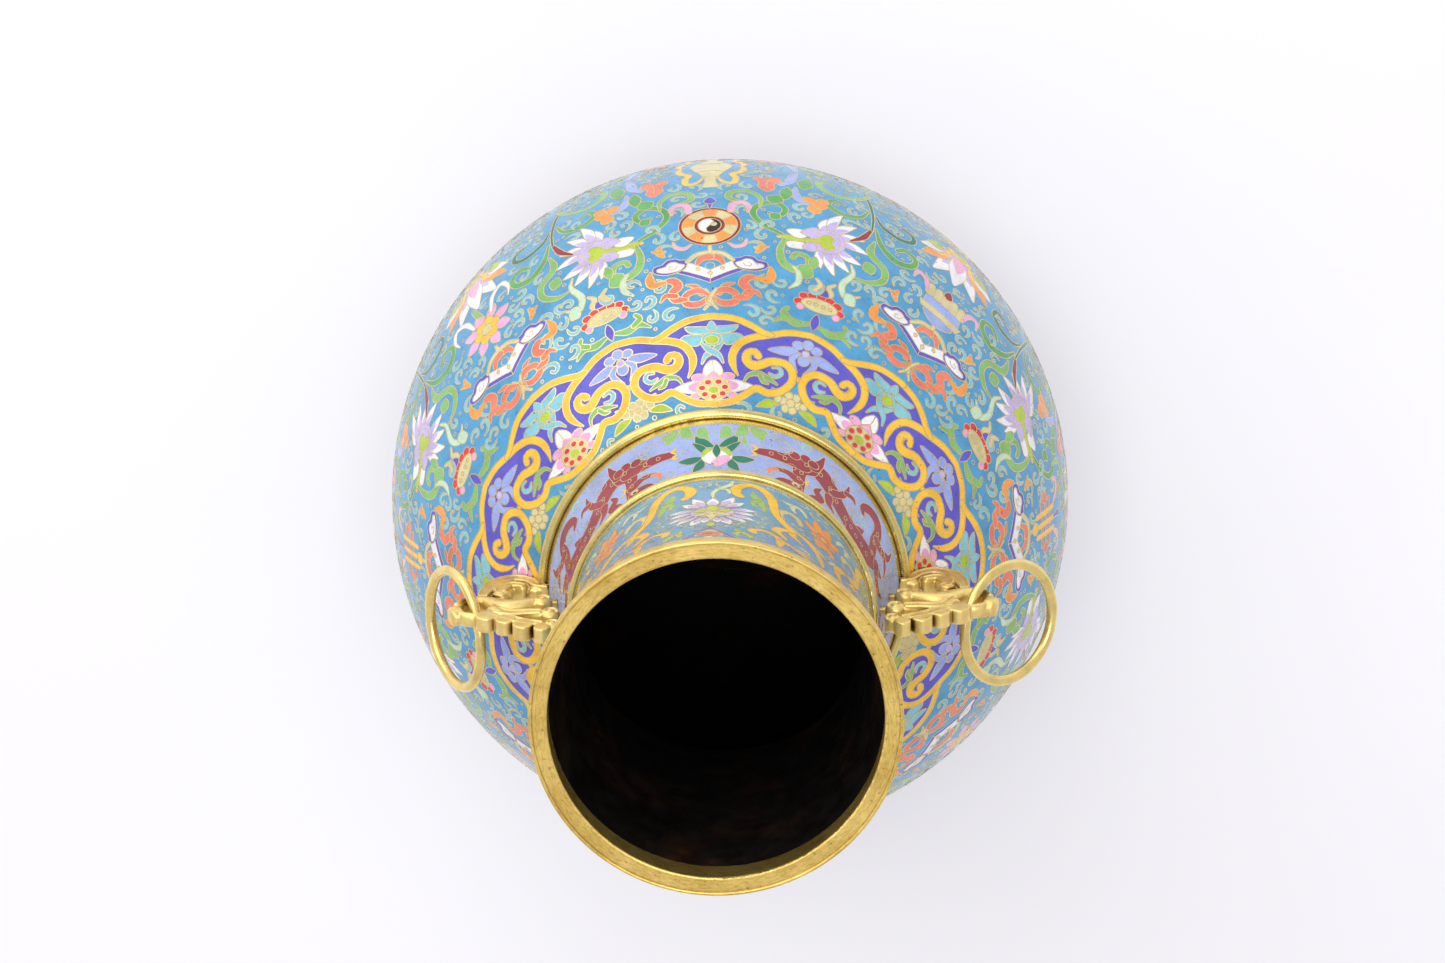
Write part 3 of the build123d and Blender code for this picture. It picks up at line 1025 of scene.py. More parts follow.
def vase_emblem(d):
    """Cream bottle with yellow ribbons."""
    d.cell(
        "cream",
        [
            (-3.4, -20), (3.4, -20), (3.0, -17.4), (2.2, -12), (4.6, -4), (8.4, 6), (9.6, 18), (6, 27),
            (-6, 27), (-9.6, 18), (-8.4, 6), (-4.6, -4), (-2.2, -12), (-3.0, -17.4),
        ],
    )
    for half in halves(d):
        half.stroke(
            "yellow",
            [(2.6, -8), (5.4, -14.6), (9.6, -15.6), (10.4, -10), (9, -5), (12.4, -1), (13.4, 5), (11, 9)],
            (0.8, 1.6, 2.8, 2.6, 2.8, 3.2, 2.4, 0.7),
        )
    d.line([(-5.6, -1), (0, 1), (5.6, -1)])
    d.line([(-9, 12), (0, 14.4), (9, 12)])


def great_lotus(d):
    """Large lotus near the belly, with four rows of petals and a white one on top."""
    rows = (("lilac", "white"), ("yellow", "orange"), ("pink", "white"), ("green", "lime"))
    for i, (colour, tip) in enumerate(rows):
        reach, lean = 19 - 3.4 * i, radians(18 + 19 * i)
        root = (2.0 * (1 + i), 4)
        end = (reach * sin(lean) * 1.5, -reach * cos(lean))
        for half in halves(d):
            half.leaf(tip, root, end, 6.4 - 0.6 * i, -1.4)
            half.leaf(colour, root, (end[0] * 0.72, end[1] * 0.62 + 1), 4.4 - 0.4 * i, -1.1, wired=False)
    leaf(d, "white", (0, 5), (0, -19), 7.4)
    leaf(d, "pink", (0, 5), (0, -10), 5.0, wired=False)
    d.disc("yellow", 0, 6, 5.0, 0.7)
    d.disc("lime", 0, 6.4, 2.8, 0.7)


# ---- the body's pattern, in degrees: azimuth from a lappet's middle, angle from the top -------------------
def collar(d):
    """Ruyi collar: one large lappet, half of each small one beside it, and the blossoms against the neck."""
    top = [(0, 30.75), (5, 31.1), (8.6, 32.2), (11.9, 33.6), (15.4, 33.2), (18.9, 34.0), (21.0, 35.8)]
    bottom = [(23.0, 44.8), (18.0, 44.2), (13.9, 43.1), (11.6, 43.3), (9.0, 44.2), (5.0, 45.3), (0, 45.7)]
    right = top + [(23.0, 36.6)] + bottom
    d.cell("ultramarine", right + [(-x, y) for x, y in right[-2:0:-1]], curved=False)
    d.motif(lappet_lotus, 0, 33.5)
    d.motif(low_lotus, 0, 41.4)
    for half in halves(d):
        d.motif(inner_flower, half.side * 22.5, 40.6)
    for half in halves(d):
        d.motif(grape_blossom, half.side * 22.5, 32.6)
        strokes(
            half, "green",
            (
                [(17.6, 34.9), (14.6, 35.6), (11.8, 36.1), (9.4, 35.6), (8.4, 34.4)],
                (0.6, 1.9, 2.3, 1.7, 0.7),
            ),
            ([(12.6, 35.8), (13.6, 34.9), (15.2, 34.7)], (1.8, 1.6, 0.6)),
        )
        half.stroke(
            "pale_turquoise",
            [(14.6, 36.5), (16.6, 36.1), (17.9, 36.9), (17.0, 37.7), (15.4, 37.5)],
            (0.7, 1.7, 1.9, 1.5, 1.0),
        )
        strokes(
            half, "yellow",
            ([(21.0, 36.7), (24.0, 36.7)], (2.0, 2.0)),
            (
                [
                    (6.7, 35.4), (5.3, 37.0), (5.0, 38.9), (6.6, 40.9), (9.6, 42.1), (13.6, 43.0),
                    (17.6, 44.1), (23.2, 44.8),
                ],
                (0.5, 3.0, 3.1, 3.0, 2.8, 2.7, 2.7, 2.7),
            ),
            (
                [(13.9, 43.0), (11.6, 43.3), (9.0, 44.2), (5.0, 45.3), (0, 45.7), (-1, 45.7)],
                (2.2, 2.6, 2.7, 2.7, 2.7, 2.7),
            ),
        )
        upper = [(-1, 30.75)] + top + [(20.6, 37.5), (18.4, 38.6), (14.8, 38.5)]
        knob = [(12.2, 37.6), (10.2, 37.3), (8.6, 38.2), (8.8, 39.4), (10.4, 39.7), (11.4, 39.0)]
        half.stroke("yellow", upper + knob, (2.5, 2.6, 2.7, 2.8, 2.9, 3.0, 3.0, 3.1, 3.5, 3.3, 2.6))
        half.line([(13.0, 38.6), (11.0, 38.1), (9.6, 38.2), (9.3, 39.0), (10.3, 39.2), (10.4, 38.7)])


def half_field(d):
    """Scrolls and flowers between a field centre at azimuth 0 and the next at 45."""
    d.motif(scallop_flower, 22.5, 50.6)
    d.motif(big_lotus, 20.9, 65.4)
    # light green curl above the lotus
    d.stroke(
        "green",
        [
            (13.4, 63.2), (12.9, 60.2), (13.8, 57.6), (16.4, 56.6), (18.6, 58.0), (17.9, 60.0),
            (16.0, 60.2), (15.4, 59.2),
        ],
        (1.4, 2.6, 3.2, 3.6, 3.4, 2.8, 2.2, 2.4),
    )
    leaf(d, "green", (16.6, 57.6), (19.8, 55.9), 3.2)
    leaf(d, "green", (18.4, 59.2), (20.4, 59.0), 3.0)
    # deep green scroll below it
    d.stroke(
        "mid_green",
        [
            (12.8, 64.3), (9.6, 66.0), (7.5, 68.8), (8.2, 71.6), (11.0, 73.2), (12.9, 71.4), (12.0, 69.2),
            (10.4, 69.6),
        ],
        (1.6, 2.4, 2.6, 2.8, 2.9, 2.9, 2.4, 2.2),
    )
    leaf(d, "mid_green", (10.4, 72.8), (11.6, 76.0), 3.0)
    leaf(d, "mid_green", (12.0, 69.8), (10.6, 68.0), 2.2)
    # light green scroll under the wheel
    d.stroke(
        "green",
        [(8.6, 71.4), (8.4, 74.4), (6.2, 76.4), (3.6, 75.8), (3.2, 73.6), (4.8, 72.8)],
        (1.0, 1.9, 2.5, 3.0, 2.8, 1.8),
    )
    # red bud and its stalk
    d.stroke("maroon", [(25.0, 67.6), (27.0, 70.0), (28.2, 73.6)], (1.2, 3.0, 1.4))
    d.stroke("dark_green", [(28.2, 73.4), (28.0, 77.6), (27.2, 82.6), (26.0, 88)], (1.2, 1.4, 1.8, 1.2))
    # scrolls beyond the lotus
    d.stroke(
        "green",
        [(29.2, 70.4), (29.0, 66.6), (32.2, 64.2), (32.6, 61.4), (30.2, 59.4), (27.6, 59.2)],
        (0.7, 3.4, 3.2, 3.0, 2.6, 0.8),
    )
    leaf(d, "green", (30.6, 63.6), (28.4, 62.0), 2.8)
    d.stroke(
        "mid_green",
        [(28.8, 74.4), (30.4, 70.2), (33.6, 68.0), (36.6, 69.2), (37.0, 71.6), (34.8, 72.6), (33.4, 71.2)],
        (1.0, 2.2, 3.4, 3.6, 2.8, 2.4, 2.2),
    )
    d.stroke(
        "dark_green",
        [(28.4, 79.0), (30.0, 76.2), (33.2, 75.2), (35.6, 76.6), (35.4, 79.0), (33.4, 79.6)],
        (1.0, 2.0, 2.7, 2.8, 2.4, 1.8),
    )
    d.stroke(
        "mid_green",
        [(27.0, 79.6), (25.6, 76.0), (22.4, 74.9), (20.0, 76.6), (20.8, 78.9), (22.6, 78.6)],
        (1.0, 2.0, 2.8, 3.0, 2.6, 2.0),
    )
    d.stroke(
        "green",
        [(27.2, 88.4), (25.2, 84.0), (21.6, 81.4), (18.6, 82.8), (18.2, 86.2), (20.4, 87.0)],
        (1.2, 2.2, 3.0, 3.2, 3.0, 2.2),
    )
    # flowers above the belly
    d.motif(lobed_flower, 17.8, 75.2)
    leaf(d, "mid_green", (12.6, 74.6), (12.9, 79.8), 2.2)
    d.motif(tulip_flower, 9.6, 80.4)
    leaf(d, "mid_green", (15.4, 80.0), (16.2, 86.0), 2.6)
    # cream and mint curls
    strokes(
        d, "mint",
        ([(15.6, 52.4), (17.2, 54.0), (17.0, 56.0), (15.8, 57.2)], (0.6, 2.4, 2.4, 1.0)),
        ([(29.6, 55.6), (27.0, 54.2), (25.6, 56.4), (27.0, 59.6), (26.2, 61.6)], (0.8, 2.4, 2.8, 2.2, 0.8)),
    )
    leaf(d, "mint", (26.6, 55.0), (29.2, 53.2), 2.6)
    for az, v, turn, flip in (
        (9.0, 46.9, -10, 1), (12.6, 50.4, 160, 1), (10.2, 52.6, 60, -1), (37.0, 47.2, 10, -1),
        (33.2, 50.6, 200, -1), (35.4, 52.8, 120, 1), (10.2, 66.4, 80, 1), (8.8, 60.6, 10, 1),
        (9.2, 63.4, 60, -1), (14.6, 69.8, 120, 1), (15.2, 73.0, 30, -1), (5.6, 70.4, 90, 1),
        (33.4, 56.6, 0, -1), (35.6, 63.6, 90, 1), (36.2, 66.2, 200, 1), (24.0, 72.6, 0, -1),
        (2.4, 78.4, 100, 1), (6.0, 78.6, 80, -1), (31.6, 83.4, 40, 1), (35.6, 84.6, 120, -1),
        (20.8, 53.6, 250, 1), (31.0, 47.6, 170, 1),
    ):
        d.motif(comma, az, v, 1.0, turn, flip)


EMBLEMS = {"wheel": wheel, "flower": emblem_flower, "canopy": emblem_canopy, "knot": emblem_knot}


def field_centre(d, emblem, inner):
    """What hangs on a field's centre line; inner is where the lotus stalks meet it."""
    d.motif(ribbon_bow, 0, 49.6)
    d.motif(chime, 0, 55.6)
    d.motif(EMBLEMS[emblem], 0, 65.5)
    if inner:
        d.motif(vase_emblem, 0, 86)
    else:
        d.motif(great_lotus, 0, 83, 1.3)


def scatter(d, window, seed, circles=0.3, curls=0.2, step=SCATTER_STEP):
    """Small gold circles, bare wire curls and pale commas where the ground is still empty.

    circles and curls are the shares of the spots with room for one that get one.
    """
    rng = np.random.default_rng(seed)
    a0, a1, v0, v1 = window
    taken = np.concatenate([outline for _, outline, _ in d.cells] + d.wires)
    boxes = [(outline, outline.min(0), outline.max(0)) for _, outline, _ in d.cells]
    first, last = 1.6, 1.2         # mm kept free along the window's edges
    for v in np.arange(v0 + first / d.skin.v_mm, v1 - last / d.skin.v_mm, step / d.skin.v_mm):
        true = np.array([d.skin.az_scale(v), d.skin.v_mm])
        for az in np.arange(a0 + first / true[0], a1 - last / true[0], step / true[0]):
            spot = np.array([az, v]) + rng.uniform(-1.0, 1.0, 2) / true
            size, turn, flip = rng.uniform(0.5, 0.9), rng.uniform(0, 360), rng.choice([-1, 1])
            small, large = rng.random(2)
            gap = np.hypot(*((taken - spot) * true).T).min()
            if gap < CIRCLE_GAP or any(
                (spot >= low).all() and (spot <= high).all() and inside(spot[None] * true, outline * true)[0]
                for outline, low, high in boxes
            ):
                continue
            if gap > CURL_GAP and large < curls:
                d.motif(wire_curl, *spot, 0.9, turn, flip)
            elif gap > COMMA_GAP and large >= curls:
                d.motif(comma, *spot, 0.85, turn, flip)
                taken = np.concatenate([taken, d.cells[-1][1]])
                continue
            elif small < circles:
                d.loop(*spot, size)
            else:
                continue
            taken = np.concatenate([taken, d.wires[-1]])


# ---- the neck's patterns, in degrees of azimuth and millimetres of height ------------------------------
def dragon(half):
    """Maroon dragon that reaches for the peach, drawn on one side of it."""
    tail = [(69, 299), (71, 293), (69.5, 287), (69, 281), (66, 277), (61, 277.5), (58.4, 281), (60.4, 284)]
    back = [(27, 285.4), (33, 284.6), (39, 285.2), (44, 289)]
    back += [(48, 293.4), (54, 297.4), (61, 299.6), (69, 298.6)]
    strokes(
        half, "maroon",
        (tail, (4.6, 4.6, 4.4, 4.4, 4.0, 3.8, 3.2, 1.0)),
        ([(60, 300), (61, 295), (63, 291)], (5, 4.4, 1.0)),
        (back + [(76, 294), (81, 292)], (4.6, 7, 7, 6.4, 6.4, 7, 8.2, 8.2, 5, 1.6)),
        # mane, head and jaws
        ([(34, 286), (31.4, 290), (31.6, 295), (32, 299), (31.4, 305)], (6.4, 4.6, 3.8, 4.2, 5.2)),
        fat=1.35,
    )
    strokes(
        half, "maroon",
        ([(32, 286.4), (26, 287), (20, 287), (14.8, 287.6)], (6.4, 5.4, 5.0, 3.6)),
        fat=1.15,
    )
    strokes(
        half, "maroon",
        ([(36, 283.4), (37.6, 279), (38.2, 274.6)], (4.2, 2.6, 0.7)),
        ([(31.5, 298), (27, 295.6), (22.4, 296.2)], (3.6, 2.6, 1.8)),
        ([(31, 303), (26, 302.6), (23.4, 305)], (4.4, 3.0, 2.0)),
        # legs and claws
        ([(45.6, 290.4), (49, 286.6), (50.4, 282), (50.2, 278.6)], (3.2, 2.6, 2.2, 0.6)),
        ([(50.2, 283.6), (53.6, 282.2), (55.4, 284.6)], (2.0, 1.8, 0.5)),
        ([(38.6, 304.4), (41.6, 301), (39.4, 297.4), (40.8, 294)], (3.2, 3.4, 2.6, 0.8)),
        ([(44.6, 295), (45.4, 299.4), (48.6, 302.6)], (3.2, 2.4, 0.7)),
        ([(76, 293.4), (79.6, 297.4), (84.4, 298.2), (87.6, 295.4)], (4.0, 3.4, 3.0, 0.8)),
        ([(70, 284.6), (74.6, 283.6), (78.6, 279.6), (78.4, 275.6)], (3.4, 3.2, 2.8, 0.7)),
        ([(75.4, 282.6), (79.6, 284.6), (82.6, 287.6)], (2.4, 2.2, 0.6)),
        ([(57.6, 304.6), (62, 305.6), (66.6, 304.6)], (1.0, 2.4, 0.7)),
        fat=1.35,
    )
    for az, v in ((28.2, 282.6), (32.2, 281.4), (35.4, 282.2)):
        half.disc("maroon", az, v, 2.4)
    half.stroke("coral", [(22.8, 296.4), (20.4, 298), (20.6, 301.4)], (2.0, 2.4, 0.8))
    strokes(
        half, "yellow",
        ([(12.8, 284), (14.8, 285.6), (13.6, 287.4)], (0.6, 1.3, 0.8)),
        ([(12.8, 291.6), (14.8, 290), (13.4, 288.4)], (0.6, 1.3, 0.8)),
        ([(36.6, 298.8), (34.6, 296.4), (35.6, 293.6)], (0.7, 1.2, 0.7)),
    )
    half.disc("cream", 31.0, 301.6, 1.7)
    half.disc("black", 31.0, 302.2, 0.9)
    more_scales = [(20, 286.8), (25, 286.8), (32, 291.4), (31.6, 296), (57.4, 298.6), (65, 299.4)]
    for az, v in back[1:-1] + tail[:4] + more_scales:
        half.loop(az, v, 0.8, 1.5)


def peach(d):
    """Peach with dark green leaves."""
    for root, tip, width, bend in (
        ((0.8, 3.6), (7.8, -4.6), 5.0, 1.4),
        ((3.6, 10.0), (9.4, -0.4), 3.4, -1.0),
        ((5.0, 10.6), (15.4, 10.6), 5.2, 1.2),
        ((5.6, 11.6), (9.6, 21.0), 4.4, 1.0),
    ):
        for half in halves(d):
            half.leaf("dark_green", root, tip, width, bend)
    d.cell(
        "white",
        [
            (0, 5.4), (4.0, 4.6), (6.2, 8.6), (5.8, 12.4), (3.0, 16.0), (0.6, 18.0), (-2.6, 15.6),
            (-5.4, 12.4), (-5.8, 8.6), (-3.8, 4.8),
        ],
    )
    d.cell(
        "pink",
        [(0.4, 18.0), (-2.4, 15.4), (-0.6, 12.2), (1.6, 9.8), (4.6, 9.4), (5.6, 12.4), (3.0, 16.0)],
        wired=False,
    )
    for half in halves(d):
        half.cell("lime", [(1.4, 5.0), (4.2, 4.4), (6.2, 8.6), (5.2, 10.2), (3.8, 8.2)], wired=False)
    leaf(d, "dark_green", (0, 1.6), (0.2, 11.2), 3.2)
    d.line([(0, 11), (0.4, 14.4), (0.6, 17.6)])


def dragon_band(d):
    """Half of the lavender band: two dragons at a peach, green commas and small clouds of wire."""
    for half in halves(d):
        dragon(half)
    d.motif(peach, 0.8, 283.4)
    for az, top, foot, lean in (
        (2.6, 275.8, 281.2, 1.4), (8.0, 274.0, 279.6, 1.6), (15.2, 274.6, 280.2, -1.8),
    ):
        for half in reversed(halves(d)):
            middle = (az + 1.2 * (lean > 0), (top + foot) / 2)
            half.stroke("green", [(az + lean, top), middle, (az - 0.4 * lean, foot)], (4.0, 4.8, 0.9))
    for half in halves(d):
        half.stroke("green", [(17.8, 276.2), (16.4, 274.8), (14.2, 275.4)], (0.8, 2.6, 2.0))
    d.stroke("green", [(10.2, 280.2), (10.4, 282.6), (11.4, 284.8)], (1.4, 2.2, 0.7))
    for az, v, turn in (
        (23, 278, 0), (25, 282, 100), (44, 277, 40), (44.5, 282.4, 200), (56, 288, 60), (56, 292.6, 190),
        (76, 284, 20), (84, 280, 90), (86, 288, 210), (82, 299, 40), (18, 303, 150), (26, 291.6, 300),
        (52.5, 303, 120),
    ):
        for half in halves(d):
            # the turn is the same on both sides, so it is undone for the pen that mirrors it
            half.motif(cloud_curl, az, v, 1.0, half.side * turn)


def cloud_curl(d):
    """Two spirals of bare wire that make a small cloud."""
    d.line([(-3.6, 1.6), (-3.4, -1.0), (-0.8, -2.2), (1.4, -0.6), (0.6, 1.2), (-1.0, 1.0), (-1.2, -0.4)])
    d.line([(1.4, -0.6), (3.6, 0.4), (3.4, 2.6), (1.4, 3.2), (0.8, 2.2)])


def neck_lotus(d):
    """Lilac lotus with white-tipped petals around a lime heart and a cream ruyi head."""
    for tip, root, width in (
        ((0, -17.6), (0, -5), 4.6),
        ((7.6, -19.0), (3.2, -6), 4.4),
        ((11.4, -13.2), (4.6, -4.6), 4.4),
        ((16.6, -3.6), (6.0, -1.6), 4.2),
        ((16.0, 3.4), (6.0, 1.6), 4.0),
        ((16.0, 11.4), (6.0, 5.4), 4.2),
        ((12.4, 17.0), (5.2, 8.0), 4.2),
        ((6.6, 23.4), (3.4, 10.4), 4.6),
        ((2.4, 20.4), (1.8, 11.0), 3.4),
    ):
        for half in reversed(halves(d)):
            half.leaf("white", root, tip, width)
            inner_tip = [r + 0.66 * (t - r) for r, t in zip(root, tip)]
            half.leaf("lilac", root, inner_tip, width * 0.8, wired=False)
    d.disc("lilac", 0, 2.4, 8.0, 0.95)
    d.cell("lime", [(0, -7.6), (2.4, -4.2), (1.8, 0), (0, 1.0), (-1.8, 0), (-2.4, -4.2)])
    for half in halves(d):
        half.cell("lime", [(2.4, -1.4), (6.0, -2.4), (6.6, 0.6), (4.4, 2.4), (2.6, 1.4)])
    ruyi = [(0, 2.2), (3.4, 3.0), (6.8, 5.6), (5.6, 8.0), (3.0, 7.0), (1.6, 9.4), (0, 15.8)]
    d.cell("cream", ruyi + [(-x, y) for x, y in ruyi[-2:0:-1]])
    for half in halves(d):
        half.loop(1.5, 5.6, 0.9)


def neck_scrolls(half):
    """Yellow scroll and its cream and green leaves, on one side of the lotus."""
    half.stroke(
        "cream",
        [
            (34.5, 342), (33.2, 335.4), (29.2, 333.2), (25.8, 338), (26.2, 346), (29.6, 353), (35.4, 358),
            (41.5, 364.5), (44.4, 372),
        ],
        (2.2, 3.4, 3.6, 3.4, 3.2, 3.2, 3.2, 2.4, 0.8),
    )
    strokes(
        half, "yellow",
        ([(30, 357), (36, 359.4), (39.8, 368), (41, 380), (40.6, 392)], (3.4, 4.2, 3.4, 2.6, 1.2)),
        ([(30.6, 357), (30.2, 364.6), (32, 369), (35, 373)], (3.6, 3.6, 2.6, 0.8)),
        ([(30, 359), (25.4, 363.4), (23.8, 369), (26.2, 374.4), (27.4, 379.6)], (3.6, 4.2, 3.8, 2.8, 0.8)),
        (
            [
                (10.6, 330), (8.4, 324.6), (9.6, 317.6), (14.2, 313.4), (19.2, 316.2), (22.4, 323.6),
                (23.4, 333), (24.4, 343), (27.2, 351.6), (30.6, 358),
            ],
            (3.6, 4.4, 4.2, 4.2, 4.4, 4.2, 3.8, 3.8, 3.8, 4.2),
        ),
        (
            [(15.4, 384.6), (15.2, 378.8), (19.4, 375.8), (23.6, 379.4), (25, 386), (24.2, 393), (24, 399)],
            (2.8, 3.8, 3.6, 3.4, 3.4, 3.0, 1.0),
        ),
        ([(25, 383.6), (30, 388.4), (34, 396), (35, 403)], (2.6, 3.8, 3.4, 1.0)),
        ([(29, 388), (34.4, 388.4), (38, 392)], (2.0, 2.8, 0.8)),
    )
    strokes(
        half, "green",
        ([(15.2, 321.4), (16.4, 327.8), (18.2, 333), (19.4, 340), (19.6, 346)], (0.6, 4.0, 3.8, 2.6, 0.7)),
        ([(17.2, 331), (15.4, 335.6), (16, 341)], (2.4, 2.6, 0.7)),
    )
    strokes(
        half, "lime",
        ([(9.2, 381.4), (10.6, 386.6), (13.6, 391.6), (14.2, 397.4)], (0.6, 3.6, 3.2, 0.8)),
        ([(10.8, 387.4), (9.2, 392), (10.4, 396.6)], (2.2, 2.4, 0.7)),
    )
    strokes(
        half, "mint",
        (
            [(25.6, 320.4), (30, 321.4), (34.2, 319.8), (36.4, 323.4), (37.4, 327)],
            (0.7, 2.6, 2.8, 2.4, 0.7),
        ),
        ([(32, 321.4), (31, 325), (32.4, 328.6)], (2.0, 2.4, 1.2)),
        ([(30.6, 380), (34.6, 381.4), (36.2, 385.4)], (0.7, 2.6, 0.9)),
    )
    for az, v, turn, flip in (
        (4.6, 378.4, 0, 1), (8.6, 371.8, 60, 1), (12.8, 369.6, 10, -1), (18.6, 352.4, 90, 1),
        (20.4, 357, 0, -1), (18.6, 363.6, 60, -1), (3.4, 316.4, 90, 1), (17.4, 369.4, 30, 1),
        (33.4, 347, 80, 1), (41.4, 318, 100, 1), (36.4, 312.6, 0, 1), (19.6, 404, 10, 1),
        (30.4, 405.6, 200, 1), (42, 401, 80, 1), (14, 404.6, 100, -1),
    ):
        half.motif(comma, az, v, 0.9, turn, flip)


def spiky_flower(d):
    """Orange flower with pointed petals, seen from the side."""
    for tip in (
        (-3.4, -20.0), (-8.6, -10.4), (4.6, -12.0), (9.4, -3.4), (-6.2, 2.4), (-3.6, 15.6), (4.4, 21.0),
        (0.6, 12.0),
    ):
        leaf(d, "orange", (0.1 * tip[0], 0.1 * tip[1]), tip, 5.4)
    d.disc("coral", 0, -1.4, 3.8, 1.4)
    d.disc("yellow", 0, -1.4, 1.6, 1.4)


def rim_lappet(d):
    """Blue-edged lappet that hangs from the rim: a cream and coral flower, lilac and white leaves."""
    d.cell(
        "ultramarine",
        [(0, -1.4), (4.4, 9), (9.4, 21), (11.6, 34), (-11.6, 34), (-9.4, 21), (-4.4, 9)],
        curved=False,
    )
    d.cell(
        "turquoise",
        [(0, 3.4), (3.2, 10.4), (7.6, 21), (9.6, 34), (-9.6, 34), (-7.6, 21), (-3.2, 10.4)],
        curved=False,
    )
    d.cell(
        "cream",
        [(0, 4.4), (2.6, 7.6), (5.0, 16.4), (3.2, 18), (0, 15), (-3.2, 18), (-5.0, 16.4), (-2.6, 7.6)],
    )
    for x, y in ((-2.6, 12.0), (2.6, 12.0), (0, 10.2), (-1.8, 15.4), (1.8, 15.4)):
        d.disc("coral", x, y, 2.2)
    d.disc("red", 0, 13.2, 1.7)
    for half in halves(d):
        half.leaf("lilac", (0, 19.4), (6.4, 28.4), 4.2)
    leaf(d, "white", (0, 18), (0, 29.4), 4.0)


def lotus_band(d):
    """A quarter of the turquoise band: a lotus between yellow scrolls, with an orange flower at each end."""
    for half in halves(d):
        neck_scrolls(half)
    for half in halves(d):
        half.motif(spiky_flower, 45, 341)
    strokes(
        d, "mint",
        ([(0.2, 333), (0.2, 326.6), (2.6, 321), (6.2, 316.6), (7.4, 311)], (0.8, 1.8, 2.4, 2.6, 0.6)),
        ([(2.4, 321.4), (5.6, 322.6), (6.4, 327.4)], (1.6, 2.2, 1.0)),
    )
    d.motif(neck_lotus, 0.4, 351.6)
    leaf(d, "lime", (0.4, 371), (0.4, 378.6), 3.4)
    d.motif(rim_lappet, 0.4, 380.6)


def foot_band(d):
    """One repeat of the border round the foot."""
    d.stroke("yellow", [(-7.5, 8), (-4, 6.4), (0, 9.4), (4, 13.2), (7.5, 12)], (1.6, 2.0, 2.0, 2.0, 1.6))
    d.disc("coral", -3.6, 11.8, 2.1)
    d.disc("cream", -3.6, 11.8, 0.9)
    d.disc("periwinkle", 3.8, 8.4, 2.1)
    d.disc("white", 3.8, 8.4, 0.9)
    leaf(d, "green", (0.6, 10.6), (1.2, 15.4), 1.8)
    leaf(d, "green", (-0.8, 8.2), (-1.2, 4.8), 1.6)


# ---- the enamelled skins ---------------------------------------------------------------------------------
class Enamelling:
    """Gathers the tiles of every colour, and the wires, from all panels."""

    def __init__(self):
        self.tiles, self.wires = {}, Batch()

    def lay(self, drawing, window, ground, turns, scattered=None, mirror=None, wire=WIRE_WIDTH):
        """Cuts a drawing's window into tiles and repeats it round the vase.

        A mirror repeats it below v = mirror too. What scattered holds goes to scatter.
        """
        if scattered:
            scatter(drawing, window, **scattered)
        mosaic = Mosaic(drawing, window, ground)
        self._spread(drawing.skin, mosaic.points, mosaic, turns, wire)
        if mirror:
            self._spread(drawing.skin, mosaic.points * [1, -1] + [0, 2 * mirror], mosaic, turns, wire, mirror)

    def _spread(self, skin, points, mosaic, turns, wire, mirror=None):
        for colour in sorted(set(mosaic.colours)):
            tris = mosaic.tris[mosaic.colours == colour]
            self.tiles.setdefault(colour, Batch()).join(tile_batch(skin, points, tris).spun(turns))
        wires = [w * [1, -1] + [0, 2 * mirror] for w in mosaic.wires] if mirror else mosaic.wires
        self.wires.join(wire_batch(skin, wires, wire).spun(turns))

    def make(self):
        gold = gilding("gilt_wire", (230, 208, 146), rough=(0.22, 0.34), scale=260, dirt=0.3, hammered=0.1)
        made = {}
        for colour, batch in sorted(self.tiles.items()):
            slot = "lavender_enamel" if colour == "lavender" else "turquoise_enamel"
            made[colour] = batch.pieces("enamel_" + colour, enamel(colour, PALETTE[colour]), slot)
        self.wires.pieces("cell_wires", gold, "gilt_bronze")
        return made


def body_panel(skin, emblem, scroll_centre):
    """Eighth of the body: a lappet of the collar over a field between two flowers."""
    d, half = Drawing(skin), Drawing(skin)
    half_field(half)
    d.add(half, -scroll_centre)
    d.add(half.mirrored(scroll_centre), -scroll_centre)
    field_centre(d, emblem, inner=scroll_centre == 0)
    collar(d)
    return d


def enamelled_skins():
    """Eight panels round the body, the two neck bands and the foot, as tiles and wires."""
    work = Enamelling()
    body = sphere_skin()
    low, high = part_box("body_upper_enamel")
    top = degrees(acos((high[2] - low[2]) / ((high[0] - low[0]) / 2)))
    fields = (("wheel", 0, 0), ("knot", 0, 90), ("canopy", 45, 45), ("flower", 45, 135))
    for index, (emblem, scroll_centre, turn) in enumerate(fields):
        panel = body_panel(body, emblem, scroll_centre)
        window = (-22.5, 22.5, top, BELLY)
        work.lay(panel, window, "turquoise", (turn, turn + 180), dict(seed=index), mirror=BELLY)
    clouds = dict(seed=11, circles=0.08, curls=0.9)
    sparse = dict(seed=12, circles=0.15, curls=0.3, step=5.0)
    for node, draw, half_width, ground, turns, scattered in (
        ("neck_lower_enamel", dragon_band, 90, "lavender", (0, 180), clouds),
        ("neck_upper_enamel", lotus_band, 45, "turquoise", (0, 90, 180, 270), sparse),
        ("foot_enamel", foot_band, 7.5, "turquoise", range(0, 360, 15), None),
    ):
        skin, low, high = lathe_skin(node)
        band = Drawing(skin)
        draw(band)
        work.lay(band, (-half_width, half_width, low, high), ground, turns, scattered, wire=NECK_WIRE_WIDTH)
    made = work.make()
    for piece in made["turquoise"]:
        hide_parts("body_upper_enamel", "body_lower_enamel", "neck_upper_enamel", "foot_enamel")
    for piece in made["lavender"]:
        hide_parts("neck_lower_enamel")


